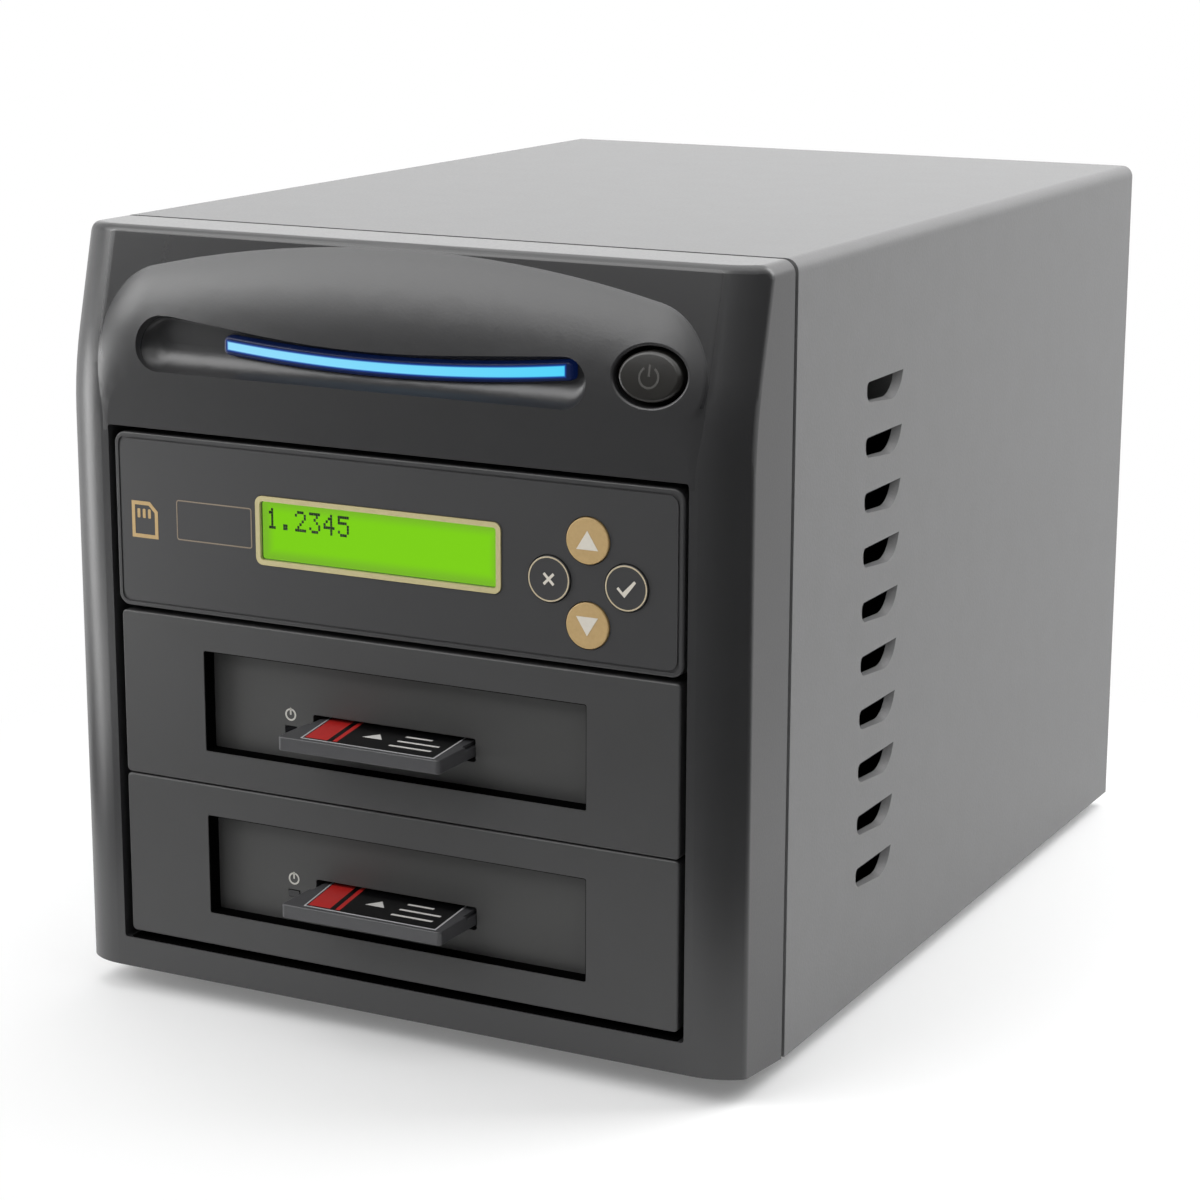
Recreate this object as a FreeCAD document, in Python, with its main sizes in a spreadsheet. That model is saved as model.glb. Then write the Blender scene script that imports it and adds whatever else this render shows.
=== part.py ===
import FreeCAD, Part
import math
import os
import re
import Sketcher

# Memory card duplicator: a three-bay tower case with a display panel above two card readers.
# Millimetres. The front faces -Y, +Z is up, the origin is under the middle of the whole object.

# Driving dimensions. Each cell of the sheet holds one of these numbers under its name.
SIZES = {
    # sheet metal case
    "case_width": 177.5,
    "case_height": 183.5,
    "case_depth": 233.4,
    "sheet": 1.0,
    "bend": 3.0,
    "fit": 0.15,
    "lip": 10.0,
    "pan_wall": 14.0,
    "vent_count": 10,
    "vent_pitch": 13.05,
    "vent_length": 22.2,
    "vent_height": 6.45,
    "vent_round": 2.6,
    "vent_nick": 1.4,
    "vent_rise": 1.8,
    "vent_slant": 2.6,
    "vent_sweep": 7.0,
    "vent_lean": 1.8,
    "vent_setback": 40.55,
    "vent_top": 138.4,
    "collar_wall": 0.8,
    "collar_depth": 0.9,
    "lip_screw_low": 20.0,
    "lip_screw_high": 130.0,
    "lead_opening": 59.0,
    "slit_width": 3.2,
    "slit_round": 1.44,
    "slit_pitch": 6.4,
    "slit_count": 8,
    "slit_height": 28.0,
    "slit_x": 22.2,
    "cut_over": 1.0,
    # feet
    "foot_height": 4.0,
    "foot_width": 16.0,
    "foot_round": 0.8,
    "foot_taper": 8.0,
    "foot_inset_side": 22.0,
    "foot_inset_end": 26.0,
    # front moulding
    "bezel_depth": 26.7,
    "bezel_wall": 2.6,
    "bezel_corner": 3.2,
    "bezel_soften": 2.2,
    "seam_gap": 1.7,
    "seam_step": 1.2,
    "side_roll": 14.0,
    "edge_setback": 5.3,
    "lean_height": 137.5,
    "lean_radius": 80.0,
    "lean_slope": 0.262,
    "brow_radius": 680.0,
    "brow_corner": 24.0,
    "brow_flat": 12.0,
    "brow_roll": 10.0,
    "brow_margin": 3.0,
    "brow_low": 124.0,
    "brow_depth": 9.6,
    "brow_steps": 6,
    "brow_ease": 1.0,
    "brow_proud": 0.1,
    "nose_height": 155.8,
    "nose_radius": 45.3,
    "nose_slope": 0.675,
    "nose_reach": 60.0,
    "chin": 2.8,
    "opening_margin": 1.8,
    "opening_top": 1.45,
    # light bar and its groove
    "groove_left": -67.6,
    "groove_right": 50.8,
    "groove_bottom": 138.8,
    "groove_top_left": 152.0,
    "groove_top_right": 150.9,
    "groove_top_middle": 146.8,
    "groove_floor": 5.0,
    "groove_round": 0.48,
    "groove_shoulder": -58.3,
    "groove_waist": -9.0,
    "groove_bow": 285.0,
    "groove_turn": 13.0,
    "groove_steps": 3,
    "groove_slope_low": 6.2,
    "groove_slope_top": 1.4,
    "groove_slope_end": 5.0,
    "bar_left": -44.6,
    "bar_right": 46.2,
    "bar_end": 1.4,
    "bar_rise": 146.1,
    "bar_tilt": 1.05,
    "bar_sag": 2.3,
    "bar_thick": 4.4,
    "bar_front": 3.0,
    "bar_curve": 0.9,
    "bar_round": 0.75,
    "bar_lamp_count": 7,
    "bar_lamp_inset": 6.0,
    "bar_lamp_width": 3.5,
    "bar_lamp_tall": 2.8,
    "bar_lamp_height": 1.6,
    "lamp_gap": 0.4,
    "front_board_left": 14.0,
    "front_board_right": 9.0,
    "front_board_low": 7.0,
    "front_board_high": 12.0,
    "board_round": 1.0,
    "post_width": 6.0,
    "post_left": 10.0,
    "post_right": 5.0,
    "post_lift": 8.0,
    # power button
    "button_x": 65.6,
    "button_rise": 147.5,
    "button_width": 15.2,
    "button_height": 11.0,
    "button_gap": 1.0,
    "button_flange": 1.5,
    "button_play": 0.3,
    "button_travel": 1.2,
    "button_round": 2.0,
    "button_lip": 0.6,
    "switch_width": 8.0,
    "switch_depth": 3.2,
    "switch_round": 0.6,
    "switch_cap": 4.0,
    # bay panels
    "panel_width": 148.0,
    "panel_height": 40.2,
    "panel_depth": 10.0,
    "panel_wall": 2.2,
    "panel_rim": 1.2,
    "panel_gap": 0.3,
    "display_gap": 0.95,
    "display_width": 149.2,
    "display_height": 42.0,
    "display_round": 3.0,
    "film_margin": 1.1,
    "film_line": 0.45,
    "film_depth": 0.3,
    "panel_rise": 12.1,
    "panel_inset": 0.7,
    "panel_round": 1.2,
    "panel_soften": 0.5,
    "bay_width": 146.0,
    "cage_depth": 165.0,
    "cage_gap": 4.45,
    "cage_height": 126.0,
    "bay_screw_front": 24.0,
    "bay_screw_pitch": 48.0,
    "bay_screw_rise": 10.0,
    # display and keys
    "window_x": -2.9,
    "window_rise": 22.05,
    "window_width": 62.3,
    "window_height": 13.9,
    "window_round": 0.8,
    "trim_width": 1.35,
    "trim_seat": 0.6,
    "trim_proud": 0.25,
    "trim_round": 2.0,
    "pane_thick": 1.4,
    "module_width": 71.0,
    "module_height": 26.0,
    "module_depth": 7.0,
    "module_board_width": 72.0,
    "module_board_height": 34.0,
    "board_thick": 1.6,
    "keys_x": 51.2,
    "keys_rise": 18.85,
    "key_spread": 9.55,
    "key_width": 10.5,
    "key_gap": 0.25,
    "key_proud": 0.4,
    "key_flange": 1.0,
    "key_collar": 0.7,
    "key_stem": 0.5,
    "key_stem_width": 3.5,
    "key_travel": 0.5,
    "keypad_depth": 6.2,
    "keypad_width": 32.4,
    "keypad_height": 31.5,
    "keypad_post": 4.0,
    "keypad_post_reach": 13.4,
    "key_switch": 6.0,
    "key_switch_round": 0.4,
    "key_switch_cap": 3.2,
    "key_switch_step": 1.0,
    # card readers
    "reader_window_width": 101.8,
    "reader_window_height": 24.6,
    "reader_window_rise": 20.4,
    "reader_recess": 4.0,
    "tunnel_wall": 1.5,
    "face_thick": 2.5,
    "face_lap": 0.8,
    "face_round": 1.0,
    "reader_window_round": 0.5,
    "slot_x": -1.4,
    "slot_rise": 16.9,
    "slot_width": 43.6,
    "slot_height": 5.6,
    "slot_round": 0.6,
    "shell_width": 101.6,
    "shell_height": 25.4,
    "shell_depth": 100.0,
    "shell_sheet": 0.8,
    "shell_round": 1.2,
    "reader_post": 5.0,
    "reader_post_side": 10.0,
    "reader_post_end": 14.0,
    "reader_board_side": 4.0,
    "reader_board_end": 6.0,
    "reader_chip": 14.0,
    "reader_chip_x": 20.3,
    "reader_chip_y": 60.0,
    "reader_chip_height": 2.0,
    "chip_round": 0.5,
    "lamp_x": -29.4,
    "lamp_rise": 15.2,
    "lamp_width": 3.0,
    "lamp_height": 1.6,
    "lamp_length": 6.7,
    "lamp_proud": 0.2,
    "lamp_round": 0.3,
    "card_width": 42.8,
    "card_length": 36.4,
    "card_thick": 3.3,
    "card_reach": 11.3,
    "card_play": 0.2,
    "card_corner": 1.0,
    "card_end_corner": 0.5,
    "card_rebate": 1.0,
    "card_step": 0.9,
    "card_soften": 0.3,
    "socket_wall": 2.0,
    "socket_lead": 10.0,
    # inner leads and their ports
    "tray_depth": 132.0,
    "tray_rise": 2.0,
    "tray_wall": 34.0,
    "standoff": 5.0,
    "board_margin": 10.0,
    "board_setback": 15.0,
    "chip_size": 27.0,
    "memory_length": 22.0,
    "memory_width": 12.0,
    "memory_x": 36.5,
    "memory_pitch": 22.0,
    "port_width": 17.0,
    "port_depth": 8.0,
    "port_height": 8.0,
    "port_pitch": 22.0,
    "port_count": 3,
    "port_y": 109.0,
    "reader_port_y": 86.0,
    "data_port_x": -1.0,
    "cable_width": 8.0,
    "cable_thick": 2.0,
    "cable_bend": 10.0,
    "lead_width": 16.0,
    "power_port_width": 18.0,
    # power supply and mains inlet
    "supply_gap": 6.85,
    "supply_width": 81.5,
    "supply_height": 40.5,
    "supply_depth": 150.0,
    "supply_edge": 4.0,
    "supply_slit_count": 11,
    "supply_slit_inset": 6.0,
    "supply_slit_height": 24.0,
    "supply_post": 5.0,
    "supply_post_side": 8.0,
    "supply_post_front": 12.0,
    "supply_post_rear": 50.0,
    "supply_post_height": 4.0,
    "supply_board_side": 4.0,
    "supply_board_front": 6.0,
    "supply_board_rear": 42.0,
    "transformer_x": -4.0,
    "transformer_y": 60.0,
    "transformer_width": 28.0,
    "transformer_length": 24.0,
    "capacitor_x": 23.0,
    "capacitor_y": 89.0,
    "capacitor_width": 18.0,
    "heatsink_x": 22.0,
    "heatsink_y": 32.0,
    "heatsink_width": 14.0,
    "heatsink_length": 30.0,
    "supply_part_height": 24.0,
    "inlet_x": -20.5,
    "inlet_width": 27.0,
    "inlet_height": 19.8,
    "inlet_rim": 1.8,
    "inlet_depth": 18.0,
    "inlet_flange": 2.0,
    "inlet_brim": 1.6,
    "inlet_round": 1.0,
    "plug_wall": 1.3,
    "plug_sill": 1.7,
    "plug_corner": 4.5,
    "plug_depth": 15.0,
    "pin_width": 2.0,
    "pin_height": 4.0,
    "pin_length": 14.0,
    "pin_spread": 7.0,
    "pin_drop": 2.0,
    "pin_rise": 2.2,
    "supply_fan_x": 18.0,
    "supply_fan_size": 38.0,
    "supply_fan_depth": 20.0,
    "supply_fan_bore": 36.0,
    "supply_fan_hub": 17.0,
    "supply_fan_corner": 2.1,
    "supply_fan_arm": 1.9,
    "supply_fan_blades": 5,
    # case fan and its guard
    "case_fan_size": 80.0,
    "case_fan_depth": 25.0,
    "case_fan_bore": 76.5,
    "case_fan_hub": 34.0,
    "case_fan_corner": 4.4,
    "case_fan_arm": 4.0,
    "case_fan_blades": 7,
    "fan_rise": 62.0,
    "fan_pitch": 71.5,
    "hub_round": 1.2,
    "root_sink": 2.0,
    "root_run": 0.24,
    "root_rise": 0.19,
    "tip_run": 0.27,
    "tip_rise": 0.38,
    "tip_gap": 1.2,
    "strut": 2.5,
    "strut_count": 4,
    "blade": 1.2,
    "shaft": 3.0,
    "shaft_play": 0.05,
    "wire": 1.6,
    "guard_rings": 4,
    # screws
    "screw_head": 5.6,
    "screw_shank": 2.9,
    "screw_head_height": 1.9,
    "screw_play": 0.2,
}

# Places worked out from the driving dimensions.
PLACES = {
    "rear_reach": "wire + screw_head_height - sheet",
    "seam": "(bezel_depth + card_reach - rear_reach - case_depth) / 2",
    "rear": "seam + case_depth",
    "front": "seam - bezel_depth",
    "face_y": "front + panel_inset",
    "base": "foot_height",
    "top": "foot_height + case_height",
    "bay_z": "foot_height + panel_rise",
    "half": "case_width / 2",
    "inner": "case_width / 2 - sheet - fit",
    "edge_y": "front + edge_setback",
    "plain_y": "front + brow_proud",
    "roll_reach": "side_roll - edge_setback + brow_proud",
    "roll_over": "side_roll - sqrt(side_roll^2 - roll_reach^2)",
    "brow_half": "half - brow_margin - brow_roll",
    "nose_start": "nose_height - nose_radius * (sqrt(1 + nose_slope^2) - 1) / nose_slope",
    "back_y": "rear - 2 * sheet",
    "stack": "panel_height + panel_gap",
    "display_z": "bay_z + 2 * stack + display_gap",
    "open_half": "panel_width / 2 + opening_margin",
    "open_low": "bay_z - opening_margin",
    "open_high": "display_z + display_height + opening_top",
    "cage_x": "bay_width / 2 + fit",
    "cage_edge": "inner - cage_gap",
    "cage_low": "base + sheet",
    "cage_top": "bay_z + cage_height",
    "shelf_top": "cage_top + sheet",
    "panel_back": "face_y + panel_depth",
    "panel_inside": "face_y + panel_wall",
    "window_z": "display_z + window_rise",
    "keys_z": "display_z + keys_rise",
    "key_back": "key_gap + key_flange + key_stem",
    "keypad_y": "panel_inside + keypad_depth",
    "reader_y": "face_y + reader_recess",
    "shell_y": "reader_y + face_thick",
    "front_board_y": "seam - sheet - board_thick - fit",
    "button_z": "bay_z + button_rise",
    "lean_start": "lean_height - lean_radius * (sqrt(1 + lean_slope^2) - 1) / lean_slope",
    "button_top": "button_rise + button_height / 2 - lean_start",
    "button_back": "edge_y + bezel_wall + lean_radius - sqrt(lean_radius^2 - button_top^2)",
    "button_end": "button_back + button_play + button_flange",
    "supply_x": "supply_gap + supply_width / 2 - inner",
    "supply_y": "back_y - supply_depth",
    "fan_z": "bay_z + fan_rise",
    "fan_y": "back_y - case_fan_depth",
    "card_front": "front - card_reach",
}

doc = FreeCAD.newDocument("duplicator")
sheet = doc.addObject("Spreadsheet::Sheet", "sizes")
for row, (name, number) in enumerate(SIZES.items(), start=1):
    sheet.set(f"A{row}", name)
    sheet.set(f"B{row}", str(number))
    sheet.setAlias(f"B{row}", name)
doc.recompute()


def bound(text):
    # Write out the places, then name the sheet before each of its cells.
    def expand(match):
        word = match.group(0)
        if word in PLACES:
            return "(" + bound(PLACES[word]) + ")"
        if word in SIZES:
            return "sizes." + word
        return word

    return re.sub(r"[a-z_]+", expand, text)


def value(text):
    return float(sheet.evalExpression(bound(text)))


def new_body(label, x="0", y="0", z="0"):
    body = doc.addObject("PartDesign::Body", label)
    body.Label = label
    for axis, text in zip("xyz", (x, y, z)):
        body.setExpression(f"Placement.Base.{axis}", bound(text))
    return body


def new_sketch(body, plane, at="0"):
    # A sketch on one of the body's own planes, set off along that plane's axis.
    sketch = body.newObject("Sketcher::SketchObject", body.Name + "_sketch")
    role = [item for item in body.Origin.OriginFeatures if item.Role == plane + "_Plane"]
    sketch.AttachmentSupport = [(role[0], "")]
    sketch.MapMode = "FlatFace"
    sign = "-" if plane == "XZ" else ""
    sketch.setExpression("AttachmentOffset.Base.z", bound(f"{sign}({at})"))
    return sketch


def fix_point(sketch, index, position, x, y):
    for kind, text in (("DistanceX", x), ("DistanceY", y)):
        made = sketch.addConstraint(Sketcher.Constraint(kind, -1, 1, index, position, value(text)))
        sketch.setExpression(f"Constraints[{made}]", bound(text))


def outline(sketch, corners):
    # A closed outline. Each corner is (x, y) or (x, y, radius), anticlockwise or clockwise.
    count = len(corners)
    spots = [FreeCAD.Vector(value(c[0]), value(c[1]), 0) for c in corners]
    tangents = []
    for i, corner in enumerate(corners):
        here = spots[i]
        into = (here - spots[i - 1]).normalize()
        away = (spots[(i + 1) % count] - here).normalize()
        radius = value(corner[2]) if len(corner) > 2 else 0
        reach = radius * math.tan(into.getAngle(away) / 2)
        tangents.append((here - into * reach, here + away * reach, into, away, radius))
    lines = []
    for i in range(count):
        start = tangents[i][1]
        end = tangents[(i + 1) % count][0]
        lines.append(sketch.addGeometry(Part.LineSegment(start, end)))
    for i, corner in enumerate(corners):
        before, after, into, away, radius = tangents[i]
        last, following = lines[i - 1], lines[i]
        if radius == 0:
            sketch.addConstraint(Sketcher.Constraint("Coincident", last, 2, following, 1))
            fix_point(sketch, following, 1, corner[0], corner[1])
            continue
        turn = 1 if into.cross(away).z > 0 else -1
        side = FreeCAD.Vector(-into.y, into.x, 0) * turn
        centre = before + side * radius
        ends = (before, after) if turn > 0 else (after, before)
        angles = [math.atan2(p.y - centre.y, p.x - centre.x) for p in ends]
        circle = Part.Circle(centre, FreeCAD.Vector(0, 0, 1), radius)
        arc = sketch.addGeometry(Part.ArcOfCircle(circle, angles[0], angles[1]))
        point = sketch.addGeometry(Part.Point(spots[i]), True)
        begin, finish = (1, 2) if turn > 0 else (2, 1)
        sketch.addConstraint(Sketcher.Constraint("Tangent", last, 2, arc, begin))
        sketch.addConstraint(Sketcher.Constraint("Tangent", arc, finish, following, 1))
        sketch.addConstraint(Sketcher.Constraint("PointOnObject", point, 1, last))
        sketch.addConstraint(Sketcher.Constraint("PointOnObject", point, 1, following))
        made = sketch.addConstraint(Sketcher.Constraint("Radius", arc, radius))
        sketch.setExpression(f"Constraints[{made}]", bound(corner[2]))
        fix_point(sketch, point, 1, corner[0], corner[1])


def rectangle(sketch, x0, y0, x1, y1, radius=None):
    corners = [(x0, y0), (x1, y0), (x1, y1), (x0, y1)]
    if radius:
        corners = [corner + (radius,) for corner in corners]
    outline(sketch, corners)


def around(sketch, x, y, width, height, radius=None):
    # A rectangle given by its middle and its size.
    rectangle(sketch, f"{x} - ({width}) / 2", f"{y} - ({height}) / 2",
              f"{x} + ({width}) / 2", f"{y} + ({height}) / 2", radius)


def disc(sketch, x, y, diameter):
    middle = FreeCAD.Vector(value(x), value(y), 0)
    circle = Part.Circle(middle, FreeCAD.Vector(0, 0, 1), value(diameter) / 2)
    index = sketch.addGeometry(circle)
    made = sketch.addConstraint(Sketcher.Constraint("Diameter", index, value(diameter)))
    sketch.setExpression(f"Constraints[{made}]", bound(diameter))
    fix_point(sketch, index, 3, x, y)


def oval(sketch, x, y, width, height):
    middle = FreeCAD.Vector(value(x), value(y), 0)
    index = sketch.addGeometry(Part.Ellipse(middle, value(width) / 2, value(height) / 2))
    sketch.exposeInternalGeometry(index)
    for line, text in ((index + 1, width), (index + 2, height)):
        made = sketch.addConstraint(Sketcher.Constraint("Distance", line, value(text)))
        sketch.setExpression(f"Constraints[{made}]", bound(text))
    sketch.addConstraint(Sketcher.Constraint("Horizontal", index + 1))
    fix_point(sketch, index, 3, x, y)


def pad(body, sketch, length, flip=False, both=False, taper=None):
    feature = body.newObject("PartDesign::Pad", body.Name + "_pad")
    feature.Profile = sketch
    feature.setExpression("Length", bound(length))
    feature.Reversed = flip
    if both:
        feature.SideType = "Symmetric"
    if taper:
        feature.setExpression("TaperAngle", bound(taper))
    sketch.Visibility = False
    return feature


def pocket(body, sketch, length=None, flip=False, both=False):
    doc.recompute()
    before = body.Shape.Volume
    feature = body.newObject("PartDesign::Pocket", body.Name + "_pocket")
    feature.Profile = sketch
    feature.Reversed = flip
    if length:
        feature.setExpression("Length", bound(length))
    else:
        feature.Type = "ThroughAll"
    if both:
        feature.SideType = "Symmetric"
    doc.recompute()
    if body.Shape.Volume > before - 1e-6:
        raise RuntimeError(f"{feature.Name} removes nothing")
    return feature


def loft(body, kind, sketches, ruled=True):
    feature = body.newObject(f"PartDesign::{kind}Loft", body.Name + "_loft")
    feature.Profile = sketches[0]
    feature.Sections = sketches[1:]
    feature.Ruled = ruled
    for sketch in sketches:
        sketch.Visibility = False
    return feature


def repeat(body, feature, direction, length, count, flip=False):
    pattern = body.newObject("PartDesign::LinearPattern", body.Name + "_row")
    pattern.Originals = [feature]
    pattern.Direction = direction
    pattern.setExpression("Length", bound(length))
    pattern.setExpression("Occurrences", bound(count))
    pattern.Reversed = flip
    body.Tip = pattern
    return pattern


def turn_round(body, feature, axis, count):
    pattern = body.newObject("PartDesign::PolarPattern", body.Name + "_ring")
    pattern.Originals = [feature]
    pattern.Axis = axis
    pattern.Angle = 360
    pattern.setExpression("Occurrences", bound(count))
    body.Tip = pattern
    return pattern


def revolve(body, sketch, axis):
    feature = body.newObject("PartDesign::Revolution", body.Name + "_turned")
    feature.Profile = sketch
    feature.ReferenceAxis = (sketch, [axis])
    feature.Angle = 360
    return feature


def soften(body, radius, chosen, kind="Fillet"):
    # Round the edges of the body that the test picks out.
    doc.recompute()
    shape = body.Tip.Shape
    names = [f"Edge{i}" for i, edge in enumerate(shape.Edges, start=1) if chosen(edge)]
    if not names:
        raise RuntimeError(f"{body.Label}: no edge to round")
    feature = body.newObject("PartDesign::" + kind, body.Name + "_round")
    feature.Base = (body.Tip if body.Tip != feature else feature.BaseFeature, names)
    feature.setExpression("Radius" if kind == "Fillet" else "Size", bound(radius))
    return feature


def runs_along(edge, axis):
    if edge.Curve.TypeId != "Part::GeomLine":
        return False
    return abs(abs(edge.Curve.Direction[axis]) - 1) < 1e-6


def lies_at(edge, axis, place):
    low, high = extent(edge, axis)
    return abs(low - value(place)) < 1e-3 and abs(high - value(place)) < 1e-3


def extent(edge, axis):
    box = edge.BoundBox
    return ((box.XMin, box.XMax), (box.YMin, box.YMax), (box.ZMin, box.ZMax))[axis]


def make_cover():
    # One bent sheet: top and two sides, an inward lip at the rear, half-moon vents in both sides.
    body = new_body("cover")

    def channel(at, width, inner_bend):
        sketch = new_sketch(body, "XZ", at)
        outline(sketch, [
            ("-half", "base"), ("-half", "top", "bend"), ("half", "top", "bend"), ("half", "base"),
            (f"half - {width}", "base"), (f"half - {width}", f"top - {width}", inner_bend),
            (f"{width} - half", f"top - {width}", inner_bend), (f"{width} - half", "base")])
        return sketch

    pad(body, channel("seam", "sheet", "bend - sheet"), "case_depth", flip=True)
    pad(body, channel("rear - sheet", "lip", "bend"), "sheet", flip=True)
    sketch = new_sketch(body, "XZ", "rear - sheet")
    for x, z in lip_places():
        disc(sketch, x, z, "screw_shank + 2 * screw_play")
    pocket(body, sketch, "sheet")
    for side in (1, -1):
        for kind, start, wall in (("Additive", "half - sheet", "collar_wall"), ("Subtractive", "half", "0")):
            end = f"half - sheet - collar_depth - collar_wall + {wall}"
            rims = [new_sketch(body, "YZ", f"{side} * ({place})") for place in (start, end)]
            vent_outline(rims[0], "0", wall)
            vent_outline(rims[1], "vent_lean", wall)
            louvre = loft(body, kind, rims)
            repeat(body, louvre, (rims[0], ["V_Axis"]), "vent_pitch * (vent_count - 1)",
                   "vent_count", flip=True)
    return body


def vent_outline(sketch, lean, wall):
    # A half moon, its lower and rear sides drawn in by the lean and all sides set out by the wall.
    low = f"bay_z + vent_top - vent_height - {wall}"
    high = f"bay_z + vent_top + {wall}"
    fore = f"seam + vent_setback - {wall}"
    aft = f"(seam + vent_setback + vent_length - {lean} + {wall})"
    outline(sketch, [
        (fore, f"{low} + vent_rise", f"vent_round + {wall}"),
        (f"{aft} - vent_slant", f"{low} + {lean} / 2", f"vent_sweep + {wall}"),
        (aft, high), (fore, high, "vent_nick")])


def lip_places():
    # Screws that hold the cover's lip to the rear panel.
    heights = ("bay_z + lip_screw_low", "bay_z + lip_screw_high")
    places = [(f"{i} * (half - lip / 2)", z) for i in (-1, 1) for z in heights]
    return places + [(f"{i} * half / 2", "top - lip / 2") for i in (-1, 1)]


def fan_places():
    return [(f"{i} * fan_pitch / 2", f"fan_z + {j} * fan_pitch / 2") for i in (-1, 1) for j in (-1, 1)]


def make_base_pan():
    body = new_body("base_pan")
    sketch = new_sketch(body, "XZ", "seam + sheet")
    outline(sketch, [
        ("-inner", "base", "bend"), ("inner", "base", "bend"),
        ("inner", "base + pan_wall"), ("inner - sheet", "base + pan_wall"),
        ("inner - sheet", "base + sheet", "bend - sheet"), ("sheet - inner", "base + sheet", "bend - sheet"),
        ("sheet - inner", "base + pan_wall"), ("-inner", "base + pan_wall")])
    pad(body, sketch, "case_depth - 3 * sheet", flip=True)
    return body


def make_front_panel():
    body = new_body("front_panel")
    sketch = new_sketch(body, "XZ", "seam")
    rectangle(sketch, "-inner", "base", "inner", "top - sheet - fit", "bend - sheet")
    pad(body, sketch, "sheet", flip=True)
    sketch = new_sketch(body, "XZ", "seam")
    rectangle(sketch, "-cage_x", "open_low", "cage_x", "cage_top - sheet")
    rectangle(sketch, "-lead_opening / 2", "cage_top + lip", "lead_opening / 2", "top - 2 * lip", "bend")
    pocket(body, sketch, "sheet")
    return body


def make_rear_panel():
    # A flat sheet behind the cover's lip, open for the power supply, the fan and a row of slots.
    body = new_body("rear_panel")
    sketch = new_sketch(body, "XZ", "back_y")
    rectangle(sketch, "-inner", "base", "inner", "top - sheet - fit", "bend - sheet")
    pad(body, sketch, "sheet", flip=True)
    sketch = new_sketch(body, "XZ", "back_y")
    around(sketch, "supply_x", "shelf_top + supply_height / 2", "supply_width - 2 * supply_edge",
           "supply_height - 2 * supply_edge", "bend")
    disc(sketch, "0", "fan_z", "case_fan_bore")
    for x, z in fan_places() + lip_places():
        disc(sketch, x, z, "screw_shank + 2 * screw_play")
    pocket(body, sketch, "sheet")
    sketch = new_sketch(body, "XZ", "back_y")
    around(sketch, "slit_x", "shelf_top + supply_height / 2", "slit_width", "slit_height", "slit_round")
    cut = pocket(body, sketch, "sheet")
    repeat(body, cut, (sketch, ["H_Axis"]), "slit_pitch * (slit_count - 1)", "slit_count")
    return body


def make_cage(label, side):
    # A folded side plate that the bay units screw to.
    body = new_body(label)
    sketch = new_sketch(body, "XZ", "seam + sheet")
    corners = [
        ("cage_x", "cage_low"), ("cage_edge", "cage_low"),
        ("cage_edge", "cage_low + sheet"), ("cage_x + sheet", "cage_low + sheet"),
        ("cage_x + sheet", "cage_top - sheet"), ("cage_edge", "cage_top - sheet"),
        ("cage_edge", "cage_top"), ("cage_x", "cage_top")]
    outline(sketch, [(f"{side} * ({x})", y) for x, y in corners])
    pad(body, sketch, "cage_depth", flip=True)
    sketch = new_sketch(body, "YZ")
    for y, z in bay_holes():
        disc(sketch, y, z, "screw_shank + 2 * screw_play")
    pocket(body, sketch, flip=side > 0)
    return body


def bay_holes():
    # Screw places along the three bays, two to a bay.
    places = []
    for floor in ("bay_z", "bay_z + stack", "display_z"):
        for along in ("seam + bay_screw_front", "seam + bay_screw_front + bay_screw_pitch"):
            places.append((along, f"{floor} + bay_screw_rise"))
    return places


def make_bay_screws():
    body = new_body("bay_screws")
    for side in (-1, 1):
        for diameter, start, length in (("screw_head", "cage_x + sheet", "screw_head_height"),
                                        ("screw_shank", "cage_x - fit", "sheet + fit")):
            sketch = new_sketch(body, "YZ", f"{side} * ({start})")
            for y, z in bay_holes():
                disc(sketch, y, z, diameter)
            pad(body, sketch, length, flip=side < 0)
    return body


def make_shelf():
    body = new_body("supply_shelf")
    sketch = new_sketch(body, "XY", "cage_top")
    rectangle(sketch, "-cage_edge", "seam + sheet", "cage_edge", "back_y")
    around(sketch, "supply_x", "supply_y - 2 * cable_bend", "3 * cable_width", "2 * cable_bend", "bend")
    pad(body, sketch, "sheet")
    return body


def make_feet():
    body = new_body("feet")
    for i in (-1, 1):
        for y in ("seam + foot_inset_end", "rear - foot_inset_end"):
            sketch = new_sketch(body, "XY", "base")
            disc(sketch, f"{i} * (half - foot_inset_side)", y, "foot_width")
            pad(body, sketch, "foot_height", flip=True, taper="-foot_taper")
    soften(body, "foot_round", lambda edge: lies_at(edge, 2, "0"))
    return body


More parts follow.
